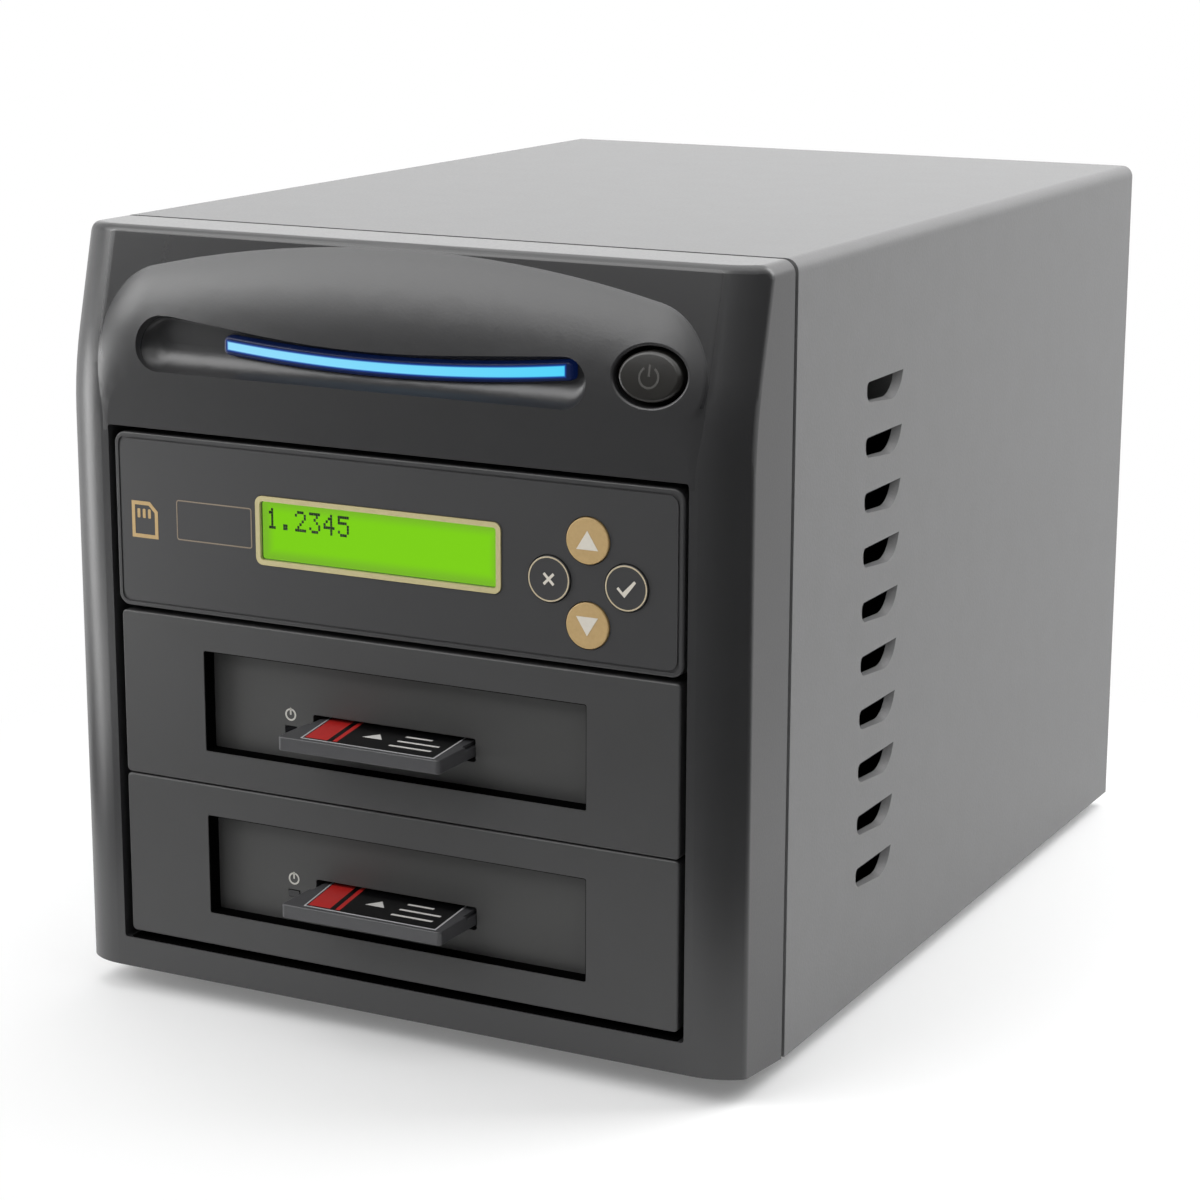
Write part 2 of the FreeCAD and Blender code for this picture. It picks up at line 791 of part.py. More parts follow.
def make_bezel():
    # The moulded front: a shell with rolled sides and a leaning top, and an arched brow that stands out.
    body = new_body("front_bezel")
    sketch = new_sketch(body, "YZ")
    outline(sketch, [
        ("seam", "base"), ("seam", "top"),
        ("plain_y + (top - bay_z - lean_height) * lean_slope", "top"),
        ("plain_y", "bay_z + lean_height", "lean_radius"), ("plain_y", "base + chin")])
    pad(body, sketch, "case_width + 2 * roll_over", both=True)
    outside = value("half + roll_over")
    soften(body, "side_roll",
           lambda edge: abs(abs(edge.BoundBox.XMin) - outside) < 1e-3
           and edge.BoundBox.XLength < 1e-3 and edge.BoundBox.YMax < value("seam") - 1e-3
           and edge.BoundBox.ZLength > value("chin"))
    sketch = new_sketch(body, "XZ", "front - cut_over")
    for i in (-1, 1):
        rectangle(sketch, f"{i} * half", "base - cut_over", f"{i} * (half + 2 * roll_over)", "top + cut_over")
    pocket(body, sketch)
    soften(body, "bezel_corner",
           lambda edge: runs_along(edge, 1) and lies_at(edge, 2, "top")
           and abs(abs(edge.BoundBox.XMin) - value("half")) < 1e-3)
    soften(body, "bezel_soften", outer_edge)
    blend = body.newObject("PartDesign::Boolean", "front_bezel_blend")
    blend.setObjects([make_brow()])
    blend.Type = "Fuse"
    # hollow back, with a step at the rear edge that leaves a dark seam in front of the cover
    sketch = new_sketch(body, "YZ")
    outline(sketch, [
        ("seam + cut_over", "base + bezel_wall"), ("seam + cut_over", "top - bezel_wall"),
        ("edge_y + bezel_wall + (top - bezel_wall - bay_z - lean_height) * lean_slope", "top - bezel_wall"),
        ("edge_y + bezel_wall", "bay_z + lean_height", "lean_radius"),
        ("edge_y + bezel_wall", "base + bezel_wall")])
    pocket(body, sketch, "case_width - 2 * bezel_wall", both=True)
    sketch = new_sketch(body, "XZ", "seam - seam_gap")
    rectangle(sketch, "-half - cut_over", "base - cut_over", "half + cut_over", "top + cut_over")
    rectangle(sketch, "seam_step - half", "base + seam_step", "half - seam_step", "top - seam_step", "bend")
    pocket(body, sketch)
    # bay opening, light groove and button hole
    sketch = new_sketch(body, "XZ", "front - cut_over")
    rectangle(sketch, "-open_half", "open_low", "open_half", "open_high", "panel_inset")
    pocket(body, sketch)
    scoop = []
    for step in range(int(value("groove_steps")) + 1):
        share = f"({step} / groove_steps)^2"
        sketch = new_sketch(
            body, "XZ", f"front - cut_over + (groove_floor + cut_over) * sqrt(2 * {share} - {share}^2)")
        groove_outline(sketch, *(f"{slope} * {share}" for slope in
                                 ("groove_slope_end", "groove_slope_low", "groove_slope_top")))
        scoop.append(sketch)
    loft(body, "Subtractive", scoop, ruled=False)
    sketch = new_sketch(body, "XZ", "front")
    bar_outline(sketch, "fit")
    pocket(body, sketch)
    sketch = new_sketch(body, "XZ", "front - cut_over")
    oval(sketch, "button_x", "button_z", "button_width + 2 * button_gap",
         "button_height + 2 * button_gap")
    pocket(body, sketch)
    soften(body, "button_lip", hole_edge)
    # posts for the front board
    sketch = new_sketch(body, "XZ", "front_board_y")
    for x, z in post_places():
        disc(sketch, x, z, "post_width")
    pad(body, sketch, "front_board_y - edge_y - bezel_wall")
    return body


def outer_edge(edge):
    # Edges round the front of the shell: where it meets the two sides and the top.
    box = edge.BoundBox
    if box.YMax > value("seam") - 1e-3:
        return False
    beside = abs(abs(box.XMin) - value("half")) < 1e-3 and box.XLength < 1e-3
    return (beside and box.ZLength > value("chin")) or lies_at(edge, 2, "top")


def hole_edge(edge):
    # The outer rim of the button hole.
    reach = value("button_width / 2 + button_gap") + 1e-3
    middle = edge.BoundBox.Center
    near = abs(middle.x - value("button_x")) < reach and abs(middle.z - value("button_z")) < reach
    return near and edge.BoundBox.YMax < value("edge_y")


def make_brow():
    # A pillow of arched outlines that widen with depth, so it bulges and leans back along a curve.
    body = new_body("brow")
    outlines = []
    for step in range(int(value("brow_steps")) + 1):
        share = f"{step} / brow_steps"
        depth = f"(brow_depth * ({share})^2)"
        across = f"(brow_half + sqrt(2 * brow_roll * {depth} - {depth}^2))"
        crest = f"bay_z + nose_start + sqrt(2 * nose_radius * {depth} - {depth}^2)"
        corner = f"(brow_flat + (brow_corner - brow_flat) * {share})"
        arch = f"{across}^2 / (2 * brow_radius)"
        sketch = new_sketch(body, "XZ", f"front + {depth}")
        outline(sketch, [
            (f"-{across}", "bay_z + brow_low"), (across, "bay_z + brow_low"),
            (across, f"{crest} - {arch}", corner),
            ("0", f"{crest} + {arch}", f"brow_radius * (1 - ({corner} + brow_ease) / {across})"),
            (f"-{across}", f"{crest} - {arch}", corner)])
        outlines.append(sketch)
    loft(body, "Additive", outlines, ruled=False)
    return body


def nose_outline(body):
    # What lies in front of the brow at the button: upright below, then leaning back in a wide curve.
    turn = "bay_z + nose_height - button_x^2 / (2 * brow_radius)"
    sketch = new_sketch(body, "YZ")
    outline(sketch, [
        ("front - nose_reach", f"{turn} - nose_reach"), ("front", f"{turn} - nose_reach"),
        ("front", turn, "nose_radius"), ("front + nose_reach * nose_slope", f"{turn} + nose_reach"),
        ("front - nose_reach", f"{turn} + nose_reach")])
    return sketch


def post_places():
    return [("bar_left - post_left", "bay_z + bar_rise"),
            ("bar_right + post_right", "bay_z + bar_rise + post_lift")]


def groove_outline(sketch, end, low, top):
    # The groove's front view, drawn in from its ends, its lower lip and its upper lip.
    bottom = f"(bay_z + groove_bottom + {low})"
    left = f"(groove_top_left - groove_bottom - {low} - {top}) * groove_round"
    right = f"(groove_top_right - groove_bottom - {low} - {top}) * groove_round"
    outline(sketch, [
        (f"groove_left + {end}", bottom, left), (f"groove_right - {end} / 2", bottom, right),
        (f"groove_right - {end} / 2", f"bay_z + groove_top_right - {top}", right),
        ("groove_waist", f"bay_z + groove_top_middle - {top}", "groove_bow"),
        ("groove_shoulder", f"bay_z + groove_top_left - {top}", "groove_turn"),
        (f"groove_left + {end}", f"bay_z + groove_top_left - {top}", left)])


def bar_outline(sketch, play):
    # The light bar's front view: a shallow smile, drawn as two tangents joined by a wide arc.
    middle = "(bar_left + bar_right) / 2"
    dip = "(bay_z + bar_rise + bar_tilt / 2 - 2 * bar_sag)"
    radius = "(bar_right - bar_left)^2 / (8 * bar_sag) * bar_curve"
    end = f"bar_end + {play}"
    outline(sketch, [
        (f"bar_left - {play}", f"bay_z + bar_rise - bar_thick / 2 - {play}", end),
        (middle, f"{dip} - bar_thick / 2 - {play}", radius),
        (f"bar_right + {play}", f"bay_z + bar_rise + bar_tilt - bar_thick / 2 - {play}", end),
        (f"bar_right + {play}", f"bay_z + bar_rise + bar_tilt + bar_thick / 2 + {play}", end),
        (middle, f"{dip} + bar_thick / 2 + {play}", radius),
        (f"bar_left - {play}", f"bay_z + bar_rise + bar_thick / 2 + {play}", end)])


def make_light_bar():
    body = new_body("light_bar")
    sketch = new_sketch(body, "XZ", "front + bar_front")
    bar_outline(sketch, "0")
    pad(body, sketch, "front_board_y - front - bar_front - bar_lamp_height - lamp_gap", flip=True)
    soften(body, "bar_round", lambda edge: lies_at(edge, 1, "front + bar_front"))
    return body


def make_front_board():
    # Lamps for the light bar and the switch behind the power button sit on one board.
    body = new_body("front_board")
    sketch = new_sketch(body, "XZ", "front_board_y")
    rectangle(sketch, "bar_left - front_board_left", "bay_z + bar_rise - front_board_low",
              "button_x + front_board_right", "bay_z + bar_rise + front_board_high", "board_round")
    pad(body, sketch, "board_thick", flip=True)
    sketch = new_sketch(body, "XZ", "front_board_y")
    around(sketch, "bar_left + bar_lamp_inset", "bay_z + bar_rise - bar_sag / 2", "bar_lamp_width",
           "bar_lamp_tall")
    lamp = pad(body, sketch, "bar_lamp_height")
    repeat(body, lamp, (sketch, ["H_Axis"]), "bar_right - bar_left - 2 * bar_lamp_inset", "bar_lamp_count")
    return body


def make_power_switch():
    body = new_body("power_switch")
    sketch = new_sketch(body, "XZ", "front_board_y")
    around(sketch, "button_x", "button_z", "switch_width", "switch_width", "switch_round")
    pad(body, sketch, "switch_depth")
    sketch = new_sketch(body, "XZ", "front_board_y - switch_depth")
    disc(sketch, "button_x", "button_z", "switch_cap")
    pad(body, sketch, "front_board_y - switch_depth - button_end - button_travel - button_play")
    return body


def make_power_button():
    # An oval cap whose front follows the nose ramp, with a collar behind the moulding.
    body = new_body("power_button")
    sketch = new_sketch(body, "XZ", "button_back + button_play")
    oval(sketch, "button_x", "button_z", "button_width", "button_height")
    pad(body, sketch, "button_back + button_play - front + cut_over")
    pocket(body, nose_outline(body), both=True)
    soften(body, "button_gap", lambda edge: edge.BoundBox.YMax < value("button_back")
           and edge.BoundBox.XMax - edge.BoundBox.XMin > value("button_width / 3"))
    sketch = new_sketch(body, "XZ", "button_back + button_play")
    around(sketch, "button_x", "button_z", "button_width + 4 * button_gap", "button_height - button_gap",
           "button_round")
    pad(body, sketch, "button_flange", flip=True)
    return body


def make_faceplate():
    # Display bay panel: hollow moulding with a window, a seat for the trim and four key holes.
    body = new_body("display_faceplate")
    moulded_panel(body, "display_z", "display_width", "display_height", "display_round")
    # fine line round the printed film
    sketch = new_sketch(body, "XZ", "face_y")
    for inset in ("film_margin", "film_margin + film_line"):
        around(sketch, "0", "display_z + display_height / 2", f"display_width - 2 * ({inset})",
               f"display_height - 2 * ({inset})", f"display_round - {inset}")
    pocket(body, sketch, "film_depth")
    sketch = new_sketch(body, "XZ", "panel_inside")
    for i in (-1, 1):
        for j in (-1, 1):
            disc(sketch, f"keys_x + {i} * keypad_post_reach", f"keys_z + {j} * keypad_post_reach",
                 "keypad_post")
    pad(body, sketch, "keypad_depth", flip=True)
    sketch = new_sketch(body, "XZ", "face_y")
    around(sketch, "window_x", "window_z", "window_width + 2 * trim_width",
           "window_height + 2 * trim_width", "trim_round")
    pocket(body, sketch, "trim_seat")
    sketch = new_sketch(body, "XZ", "face_y")
    around(sketch, "window_x", "window_z", "window_width", "window_height", "window_round")
    for _, x, z in key_places():
        disc(sketch, x, z, "key_width + 2 * key_gap")
    pocket(body, sketch, "panel_wall")
    return body


def moulded_panel(body, floor, width="panel_width", height="panel_height", corner="panel_round"):
    # The plain bay panel that the display panel and both bay frames start from.
    sketch = new_sketch(body, "XZ", "face_y")
    rectangle(sketch, f"-{width} / 2", floor, f"{width} / 2", f"{floor} + {height}", corner)
    pad(body, sketch, "panel_depth", flip=True)
    soften(body, "panel_soften", lambda edge: lies_at(edge, 1, "face_y"))
    sketch = new_sketch(body, "XZ", "panel_inside")
    rectangle(sketch, f"panel_rim - {width} / 2", f"{floor} + panel_rim",
              f"{width} / 2 - panel_rim", f"{floor} + {height} - panel_rim", corner)
    pocket(body, sketch, "panel_depth - panel_wall")


def key_places():
    return [("key_up", "keys_x", "keys_z + key_spread"), ("key_down", "keys_x", "keys_z - key_spread"),
            ("key_escape", "keys_x - key_spread", "keys_z"), ("key_confirm", "keys_x + key_spread", "keys_z")]


def make_key(label, x, z):
    # A turned cap with a collar that keeps it behind the panel and a stem for its switch.
    body = new_body(label, x, "face_y", z)
    sketch = new_sketch(body, "YZ")
    outline(sketch, [
        ("-key_proud", "0"), ("-key_proud", "key_width / 2", "key_gap"),
        ("panel_wall + key_gap", "key_width / 2"), ("panel_wall + key_gap", "key_width / 2 + key_collar"),
        ("panel_wall + key_gap + key_flange", "key_width / 2 + key_collar"),
        ("panel_wall + key_gap + key_flange", "key_stem_width / 2"),
        ("panel_wall + key_back", "key_stem_width / 2"), ("panel_wall + key_back", "0")])
    revolve(body, sketch, "H_Axis")
    return body


def make_trim():
    body = new_body("display_trim")
    sketch = new_sketch(body, "XZ", "face_y - trim_proud")
    around(sketch, "window_x", "window_z", "window_width + 2 * trim_width - 2 * fit",
           "window_height + 2 * trim_width - 2 * fit", "trim_round - fit")
    around(sketch, "window_x", "window_z", "window_width", "window_height", "window_round")
    pad(body, sketch, "trim_proud + trim_seat", flip=True)
    return body


def make_pane():
    body = new_body("display_window")
    sketch = new_sketch(body, "XZ", "panel_inside - pane_thick")
    around(sketch, "window_x", "window_z", "window_width - 2 * fit", "window_height - 2 * fit",
           "window_round - fit")
    pad(body, sketch, "pane_thick", flip=True)
    return body


def make_display_module():
    body = new_body("display_module")
    sketch = new_sketch(body, "XZ", "panel_inside")
    around(sketch, "window_x", "window_z", "module_width", "module_height", "board_round")
    pad(body, sketch, "module_depth", flip=True)
    sketch = new_sketch(body, "XZ", "panel_inside + module_depth")
    around(sketch, "window_x", "window_z", "module_board_width", "module_board_height")
    pad(body, sketch, "board_thick", flip=True)
    return body


def make_keypad_board():
    body = new_body("keypad_board")
    sketch = new_sketch(body, "XZ", "keypad_y")
    around(sketch, "keys_x", "keys_z", "keypad_width", "keypad_height", "board_round")
    pad(body, sketch, "board_thick", flip=True)
    return body


def make_keypad_switches():
    body = new_body("keypad_switches")
    sketch = new_sketch(body, "XZ", "keypad_y")
    for _, x, z in key_places():
        around(sketch, x, z, "key_switch", "key_switch", "key_switch_round")
    pad(body, sketch, "keypad_depth - key_back - key_travel - key_switch_step")
    sketch = new_sketch(body, "XZ", "keypad_y")
    for _, x, z in key_places():
        disc(sketch, x, z, "key_switch_cap")
    pad(body, sketch, "keypad_depth - key_back - key_travel - key_gap")
    return body


def make_tray():
    # Folded tray behind the display panel.
    body = new_body("controller_tray")
    low = "display_z + tray_rise"
    high = "display_z + tray_rise + tray_wall"
    sketch = new_sketch(body, "XZ", "panel_back")
    outline(sketch, [
        ("-bay_width / 2", low), ("bay_width / 2", low), ("bay_width / 2", high),
        ("bay_width / 2 - sheet", high), ("bay_width / 2 - sheet", f"{low} + sheet"),
        ("sheet - bay_width / 2", f"{low} + sheet"), ("sheet - bay_width / 2", high),
        ("-bay_width / 2", high)])
    pad(body, sketch, "tray_depth", flip=True)
    return body


def make_controller_board():
    # Board on four standoffs, with its chips, a row of data ports and a power port.
    body = new_body("controller_board")
    floor = "display_z + tray_rise + sheet"
    edge = "(bay_width / 2 - board_margin)"
    sketch = new_sketch(body, "XY", floor)
    for i in (-1, 1):
        for y in ("panel_back + board_setback + standoff", "panel_back + port_y"):
            disc(sketch, f"{i} * ({edge} - standoff)", y, "standoff + sheet")
    pad(body, sketch, "standoff")
    sketch = new_sketch(body, "XY", f"{floor} + standoff")
    rectangle(sketch, f"-{edge}", "panel_back + board_setback", edge,
              "panel_back + port_y + port_depth / 2", "board_round")
    pad(body, sketch, "board_thick")
    upper = f"{floor} + standoff + board_thick"
    sketch = new_sketch(body, "XY", upper)
    around(sketch, "0", "panel_back + port_y / 2", "chip_size", "chip_size", "chip_round")
    for i in (-1, 1):
        around(sketch, "memory_x", f"panel_back + port_y / 2 + {i} * memory_pitch / 2", "memory_length",
               "memory_width", "chip_round")
    pad(body, sketch, "board_thick")
    sketch = new_sketch(body, "XY", upper)
    around(sketch, "data_port_x - port_pitch", "panel_back + port_y", "port_width", "port_depth")
    port = pad(body, sketch, "port_height")
    repeat(body, port, (sketch, ["H_Axis"]), "port_pitch * (port_count - 1)", "port_count")
    sketch = new_sketch(body, "XY", upper)
    around(sketch, "supply_x", "supply_y - 2 * cable_bend", "power_port_width", "port_depth")
    pad(body, sketch, "port_height")
    return body


def make_bay_frame(label, floor):
    # Bay panel with a recessed window, walled by a short tunnel that the reader's face closes.
    body = new_body(label)
    moulded_panel(body, floor)
    middle = f"{floor} + reader_window_rise"
    sketch = new_sketch(body, "XZ", "panel_inside")
    around(sketch, "0", middle, "reader_window_width + 2 * tunnel_wall",
           "reader_window_height + 2 * tunnel_wall", "panel_round")
    pad(body, sketch, "reader_recess - panel_wall", flip=True)
    sketch = new_sketch(body, "XZ", "face_y")
    around(sketch, "0", middle, "reader_window_width", "reader_window_height", "reader_window_round")
    pocket(body, sketch, "reader_recess")
    return body


def make_bracket(label, floor):
    # Folded bracket that carries the reader's shell between the cage sides.
    body = new_body(label)
    low = f"{floor} + reader_window_rise - shell_height / 2"
    sketch = new_sketch(body, "XZ", "panel_back")
    outline(sketch, [
        ("-bay_width / 2", f"{low} - sheet"), ("bay_width / 2", f"{low} - sheet"),
        ("bay_width / 2", f"{low} + shell_height"), ("bay_width / 2 - sheet", f"{low} + shell_height"),
        ("bay_width / 2 - sheet", low), ("sheet - bay_width / 2", low),
        ("sheet - bay_width / 2", f"{low} + shell_height"), ("-bay_width / 2", f"{low} + shell_height")])
    pad(body, sketch, "shell_depth", flip=True)
    return body


def make_reader_face(label, floor):
    body = new_body(label)
    sketch = new_sketch(body, "XZ", "reader_y")
    around(sketch, "0", f"{floor} + reader_window_rise", "reader_window_width + 2 * face_lap",
           "reader_window_height + 2 * face_lap", "face_round")
    pad(body, sketch, "face_thick", flip=True)
    sketch = new_sketch(body, "XZ", "reader_y")
    around(sketch, "slot_x", f"{floor} + slot_rise", "slot_width", "slot_height", "slot_round")
    around(sketch, "lamp_x", f"{floor} + lamp_rise", "lamp_width + 2 * fit", "lamp_height + 2 * fit")
    pocket(body, sketch, "face_thick")
    return body


def make_reader_shell(label, floor):
    body = new_body(label)
    middle = f"{floor} + reader_window_rise"
    sketch = new_sketch(body, "XZ", "shell_y")
    around(sketch, "0", middle, "shell_width", "shell_height", "shell_round")
    around(sketch, "0", middle, "shell_width - 2 * shell_sheet", "shell_height - 2 * shell_sheet",
           "shell_round - shell_sheet")
    pad(body, sketch, "shell_depth", flip=True)
    return body


def socket_floor(floor):
    return f"{floor} + slot_rise - card_thick / 2 - card_play - socket_wall"


def make_reader_board(label, floor, port):
    body = new_body(label)
    low = f"{floor} + reader_window_rise - shell_height / 2 + shell_sheet"
    height = f"({socket_floor(floor)} - board_thick - ({low}))"
    sketch = new_sketch(body, "XY", low)
    for i in (-1, 1):
        for y in ("shell_y + reader_post_end", "shell_y + shell_depth - reader_post_end"):
            disc(sketch, f"{i} * (shell_width / 2 - reader_post_side)", y, "reader_post")
    pad(body, sketch, height)
    sketch = new_sketch(body, "XY", f"{low} + {height}")
    rectangle(sketch, "reader_board_side - shell_width / 2", "shell_y + reader_board_end",
              "shell_width / 2 - reader_board_side", "shell_y + shell_depth - reader_board_end",
              "board_round")
    pad(body, sketch, "board_thick")
    sketch = new_sketch(body, "XY", f"{low} + {height} + board_thick")
    around(sketch, "reader_chip_x", "shell_y + reader_chip_y", "reader_chip", "reader_chip", "chip_round")
    pad(body, sketch, "reader_chip_height")
    sketch = new_sketch(body, "XY", f"{low} + {height} + board_thick")
    around(sketch, port, "shell_y + reader_port_y", "port_width", "port_depth")
    pad(body, sketch, "port_height")
    return body


def make_socket(label, floor):
    # Card guide: a channel open to the front, closed behind the card's end.
    body = new_body(label)
    width = "card_width + 2 * card_play"
    sketch = new_sketch(body, "XZ", "shell_y")
    around(sketch, "slot_x", f"{floor} + slot_rise", f"{width} + 2 * socket_wall",
           "card_thick + 2 * card_play + 2 * socket_wall")
    length = "card_front + card_length - shell_y"
    pad(body, sketch, f"{length} + socket_lead", flip=True)
    sketch = new_sketch(body, "XZ", "shell_y")
    around(sketch, "slot_x", f"{floor} + slot_rise", width, "card_thick + 2 * card_play")
    pocket(body, sketch, f"{length} + card_play")
    return body


def make_lamp(label, floor):
    body = new_body(label)
    sketch = new_sketch(body, "XZ", "reader_y - lamp_proud")
    around(sketch, "lamp_x", f"{floor} + lamp_rise", "lamp_width", "lamp_height", "lamp_round")
    pad(body, sketch, "lamp_length", flip=True)
    return body


def make_card(label, floor):
    # A flat card with rounded front corners and a guide rebate along each side.
    body = new_body(label, "slot_x", "card_front", f"{floor} + slot_rise")
    sketch = new_sketch(body, "XY", "-card_thick / 2")
    outline(sketch, [
        ("-card_width / 2", "0", "card_corner"), ("card_width / 2", "0", "card_corner"),
        ("card_width / 2", "card_length", "card_end_corner"),
        ("-card_width / 2", "card_length", "card_end_corner")])
    pad(body, sketch, "card_thick")
    sketch = new_sketch(body, "XZ", "card_reach + panel_inset")
    for i in (-1, 1):
        around(sketch, f"{i} * card_width / 2", "card_thick / 2", "2 * card_rebate", "2 * card_step")
    pocket(body, sketch)
    soften(body, "card_soften", lambda edge: lies_at(edge, 1, "0"))
    return body


def make_cables():
    # Flat leads: two from the controller to the readers, one from the power supply to the controller.
    cables = []
    start = "panel_back + port_y + port_depth / 2"
    drop = "panel_back + tray_depth + cable_bend"
    high = "display_z + tray_rise + sheet + standoff + board_thick + port_height / 2"
    half = "cable_thick / 2"
    for name, floor, x in readers():
        end = "shell_y + reader_port_y + port_depth / 2"
        low = f"{socket_floor(floor)} + port_height / 2"
        body = new_body(f"data_cable_{name}")
        sketch = new_sketch(body, "YZ", x)
        outline(sketch, [
            (start, f"{high} - {half}"), (f"{drop} - {half}", f"{high} - {half}", f"cable_bend - {half}"),
            (f"{drop} - {half}", f"{low} + {half}", f"cable_bend - {half}"), (end, f"{low} + {half}"),
            (end, f"{low} - {half}"), (f"{drop} + {half}", f"{low} - {half}", f"cable_bend + {half}"),
            (f"{drop} + {half}", f"{high} + {half}", f"cable_bend + {half}"), (start, f"{high} + {half}")])
        pad(body, sketch, "cable_width", both=True)
        cables.append(body)
    body = new_body("power_lead")
    drop = "supply_y - 2 * cable_bend"
    high = "shelf_top + standoff"
    low = "display_z + tray_rise + sheet + standoff + board_thick + port_height"
    sketch = new_sketch(body, "YZ", "supply_x")
    outline(sketch, [
        ("supply_y", f"{high} - {half}"), (f"{drop} + {half}", f"{high} - {half}", f"cable_bend - {half}"),
        (f"{drop} + {half}", low), (f"{drop} - {half}", low),
        (f"{drop} - {half}", f"{high} + {half}", f"cable_bend + {half}"), ("supply_y", f"{high} + {half}")])
    pad(body, sketch, "lead_width", both=True)
    return cables + [body]


def readers():
    # Name, bottom of the bay and port place of each reader.
    return [("lower", "bay_z", "data_port_x"), ("upper", "bay_z + stack", "data_port_x - port_pitch")]


def make_supply_case():
    # Power supply: open-topped folded box, its rear wall cut for the inlet and the small fan.
    body = new_body("supply_case", "supply_x", "supply_y", "shelf_top")
    sketch = new_sketch(body, "XY")
    rectangle(sketch, "-supply_width / 2", "0", "supply_width / 2", "supply_depth")
    pad(body, sketch, "supply_height - sheet")
    sketch = new_sketch(body, "XY", "supply_height - sheet")
    rectangle(sketch, "sheet - supply_width / 2", "sheet", "supply_width / 2 - sheet", "supply_depth - sheet")
    pocket(body, sketch, "supply_height - 2 * sheet")
    sketch = new_sketch(body, "XZ", "supply_depth")
    around(sketch, "inlet_x", "supply_height / 2", "inlet_width + 2 * fit", "inlet_height + 2 * fit")
    disc(sketch, "supply_fan_x", "supply_height / 2", "supply_fan_bore")
    pocket(body, sketch, "sheet", flip=True)
    sketch = new_sketch(body, "XZ", "0")
    around(sketch, "supply_slit_inset - supply_width / 2", "supply_height / 2", "slit_width",
           "supply_slit_height", "slit_round")
    cut = pocket(body, sketch, "sheet")
    repeat(body, cut, (sketch, ["H_Axis"]), "supply_width - 2 * supply_slit_inset", "supply_slit_count")
    return body


def make_supply_lid():
    body = new_body("supply_lid", "supply_x", "supply_y", "shelf_top")
    sketch = new_sketch(body, "XY", "supply_height - sheet")
    rectangle(sketch, "-supply_width / 2", "0", "supply_width / 2", "supply_depth")
    pad(body, sketch, "sheet")
    return body


def make_supply_board():
    body = new_body("supply_board", "supply_x", "supply_y", "shelf_top")
    sketch = new_sketch(body, "XY", "sheet")
    for i in (-1, 1):
        for y in ("supply_post_front", "supply_depth - supply_post_rear"):
            disc(sketch, f"{i} * (supply_width / 2 - supply_post_side)", y, "supply_post")
    pad(body, sketch, "supply_post_height")
    sketch = new_sketch(body, "XY", "sheet + supply_post_height")
    rectangle(sketch, "supply_board_side - supply_width / 2", "supply_board_front",
              "supply_width / 2 - supply_board_side", "supply_depth - supply_board_rear", "board_round")
    pad(body, sketch, "board_thick")
    sketch = new_sketch(body, "XY", "sheet + supply_post_height + board_thick")
    around(sketch, "transformer_x", "transformer_y", "transformer_width", "transformer_length", "board_round")
    around(sketch, "heatsink_x", "heatsink_y", "heatsink_width", "heatsink_length", "board_round")
    for i in (-1, 1):
        disc(sketch, f"{i} * capacitor_x", "capacitor_y", "capacitor_width")
    pad(body, sketch, "supply_part_height")
    return body


def make_inlet():
    # Mains inlet: rim outside, block inside, a recess with two cut corners for the plug.
    body = new_body("mains_inlet", "supply_x + inlet_x", "back_y", "shelf_top + supply_height / 2")
    sketch = new_sketch(body, "XZ", "0")
    around(sketch, "0", "0", "inlet_width + 2 * inlet_flange", "inlet_height + 2 * inlet_brim",
           "2 * inlet_round")
    pad(body, sketch, "inlet_rim", flip=True)
    sketch = new_sketch(body, "XZ", "0")
    around(sketch, "0", "0", "inlet_width", "inlet_height", "inlet_round")
    pad(body, sketch, "inlet_depth")
    sketch = new_sketch(body, "XZ", "inlet_rim")
    side = "(inlet_width / 2 - plug_wall)"
    edge = "(inlet_height / 2 - plug_sill)"
    outline(sketch, [
        (f"-{side}", f"-{edge}"), (side, f"-{edge}"), (side, f"{edge} - plug_corner"),
        (f"{side} - plug_corner", edge), (f"plug_corner - {side}", edge),
        (f"-{side}", f"{edge} - plug_corner")])
    pocket(body, sketch, "inlet_rim + plug_depth", flip=True)
    return body


def make_inlet_pins():
    body = new_body("inlet_pins", "supply_x + inlet_x", "back_y", "shelf_top + supply_height / 2")
    sketch = new_sketch(body, "XZ", "-plug_depth")
    for x, z in (("-pin_spread", "-pin_drop"), ("pin_spread", "-pin_drop"), ("0", "pin_rise")):
        around(sketch, x, z, "pin_width", "pin_height")
    pad(body, sketch, "pin_length", flip=True)
    return body


def fan_frame(kind, x, y, z):
    # Square frame round a bore, with a motor seat on four struts at its inner face.
    body = new_body(f"{kind}_frame", x, y, z)
    sketch = new_sketch(body, "XZ")
    around(sketch, "0", "0", f"{kind}_size", f"{kind}_size", f"{kind}_corner")
    pad(body, sketch, f"{kind}_depth", flip=True)
    sketch = new_sketch(body, "XZ")
    disc(sketch, "0", "0", f"{kind}_bore")
    pocket(body, sketch, f"{kind}_depth")
    sketch = new_sketch(body, "XZ")
    disc(sketch, "0", "0", f"{kind}_hub")
    pad(body, sketch, "strut", flip=True)
    sketch = new_sketch(body, "XZ")
    around(sketch, f"({kind}_bore + {kind}_hub) / 4", "0", f"({kind}_bore - {kind}_hub) / 2 + 2 * sheet",
           f"{kind}_arm")
    arm = pad(body, sketch, "strut", flip=True)
    turn_round(body, arm, (sketch, ["N_Axis"]), "strut_count")
    sketch = new_sketch(body, "XZ")
    disc(sketch, "0", "0", "shaft + 2 * shaft_play")
    pocket(body, sketch, "strut")
    return body


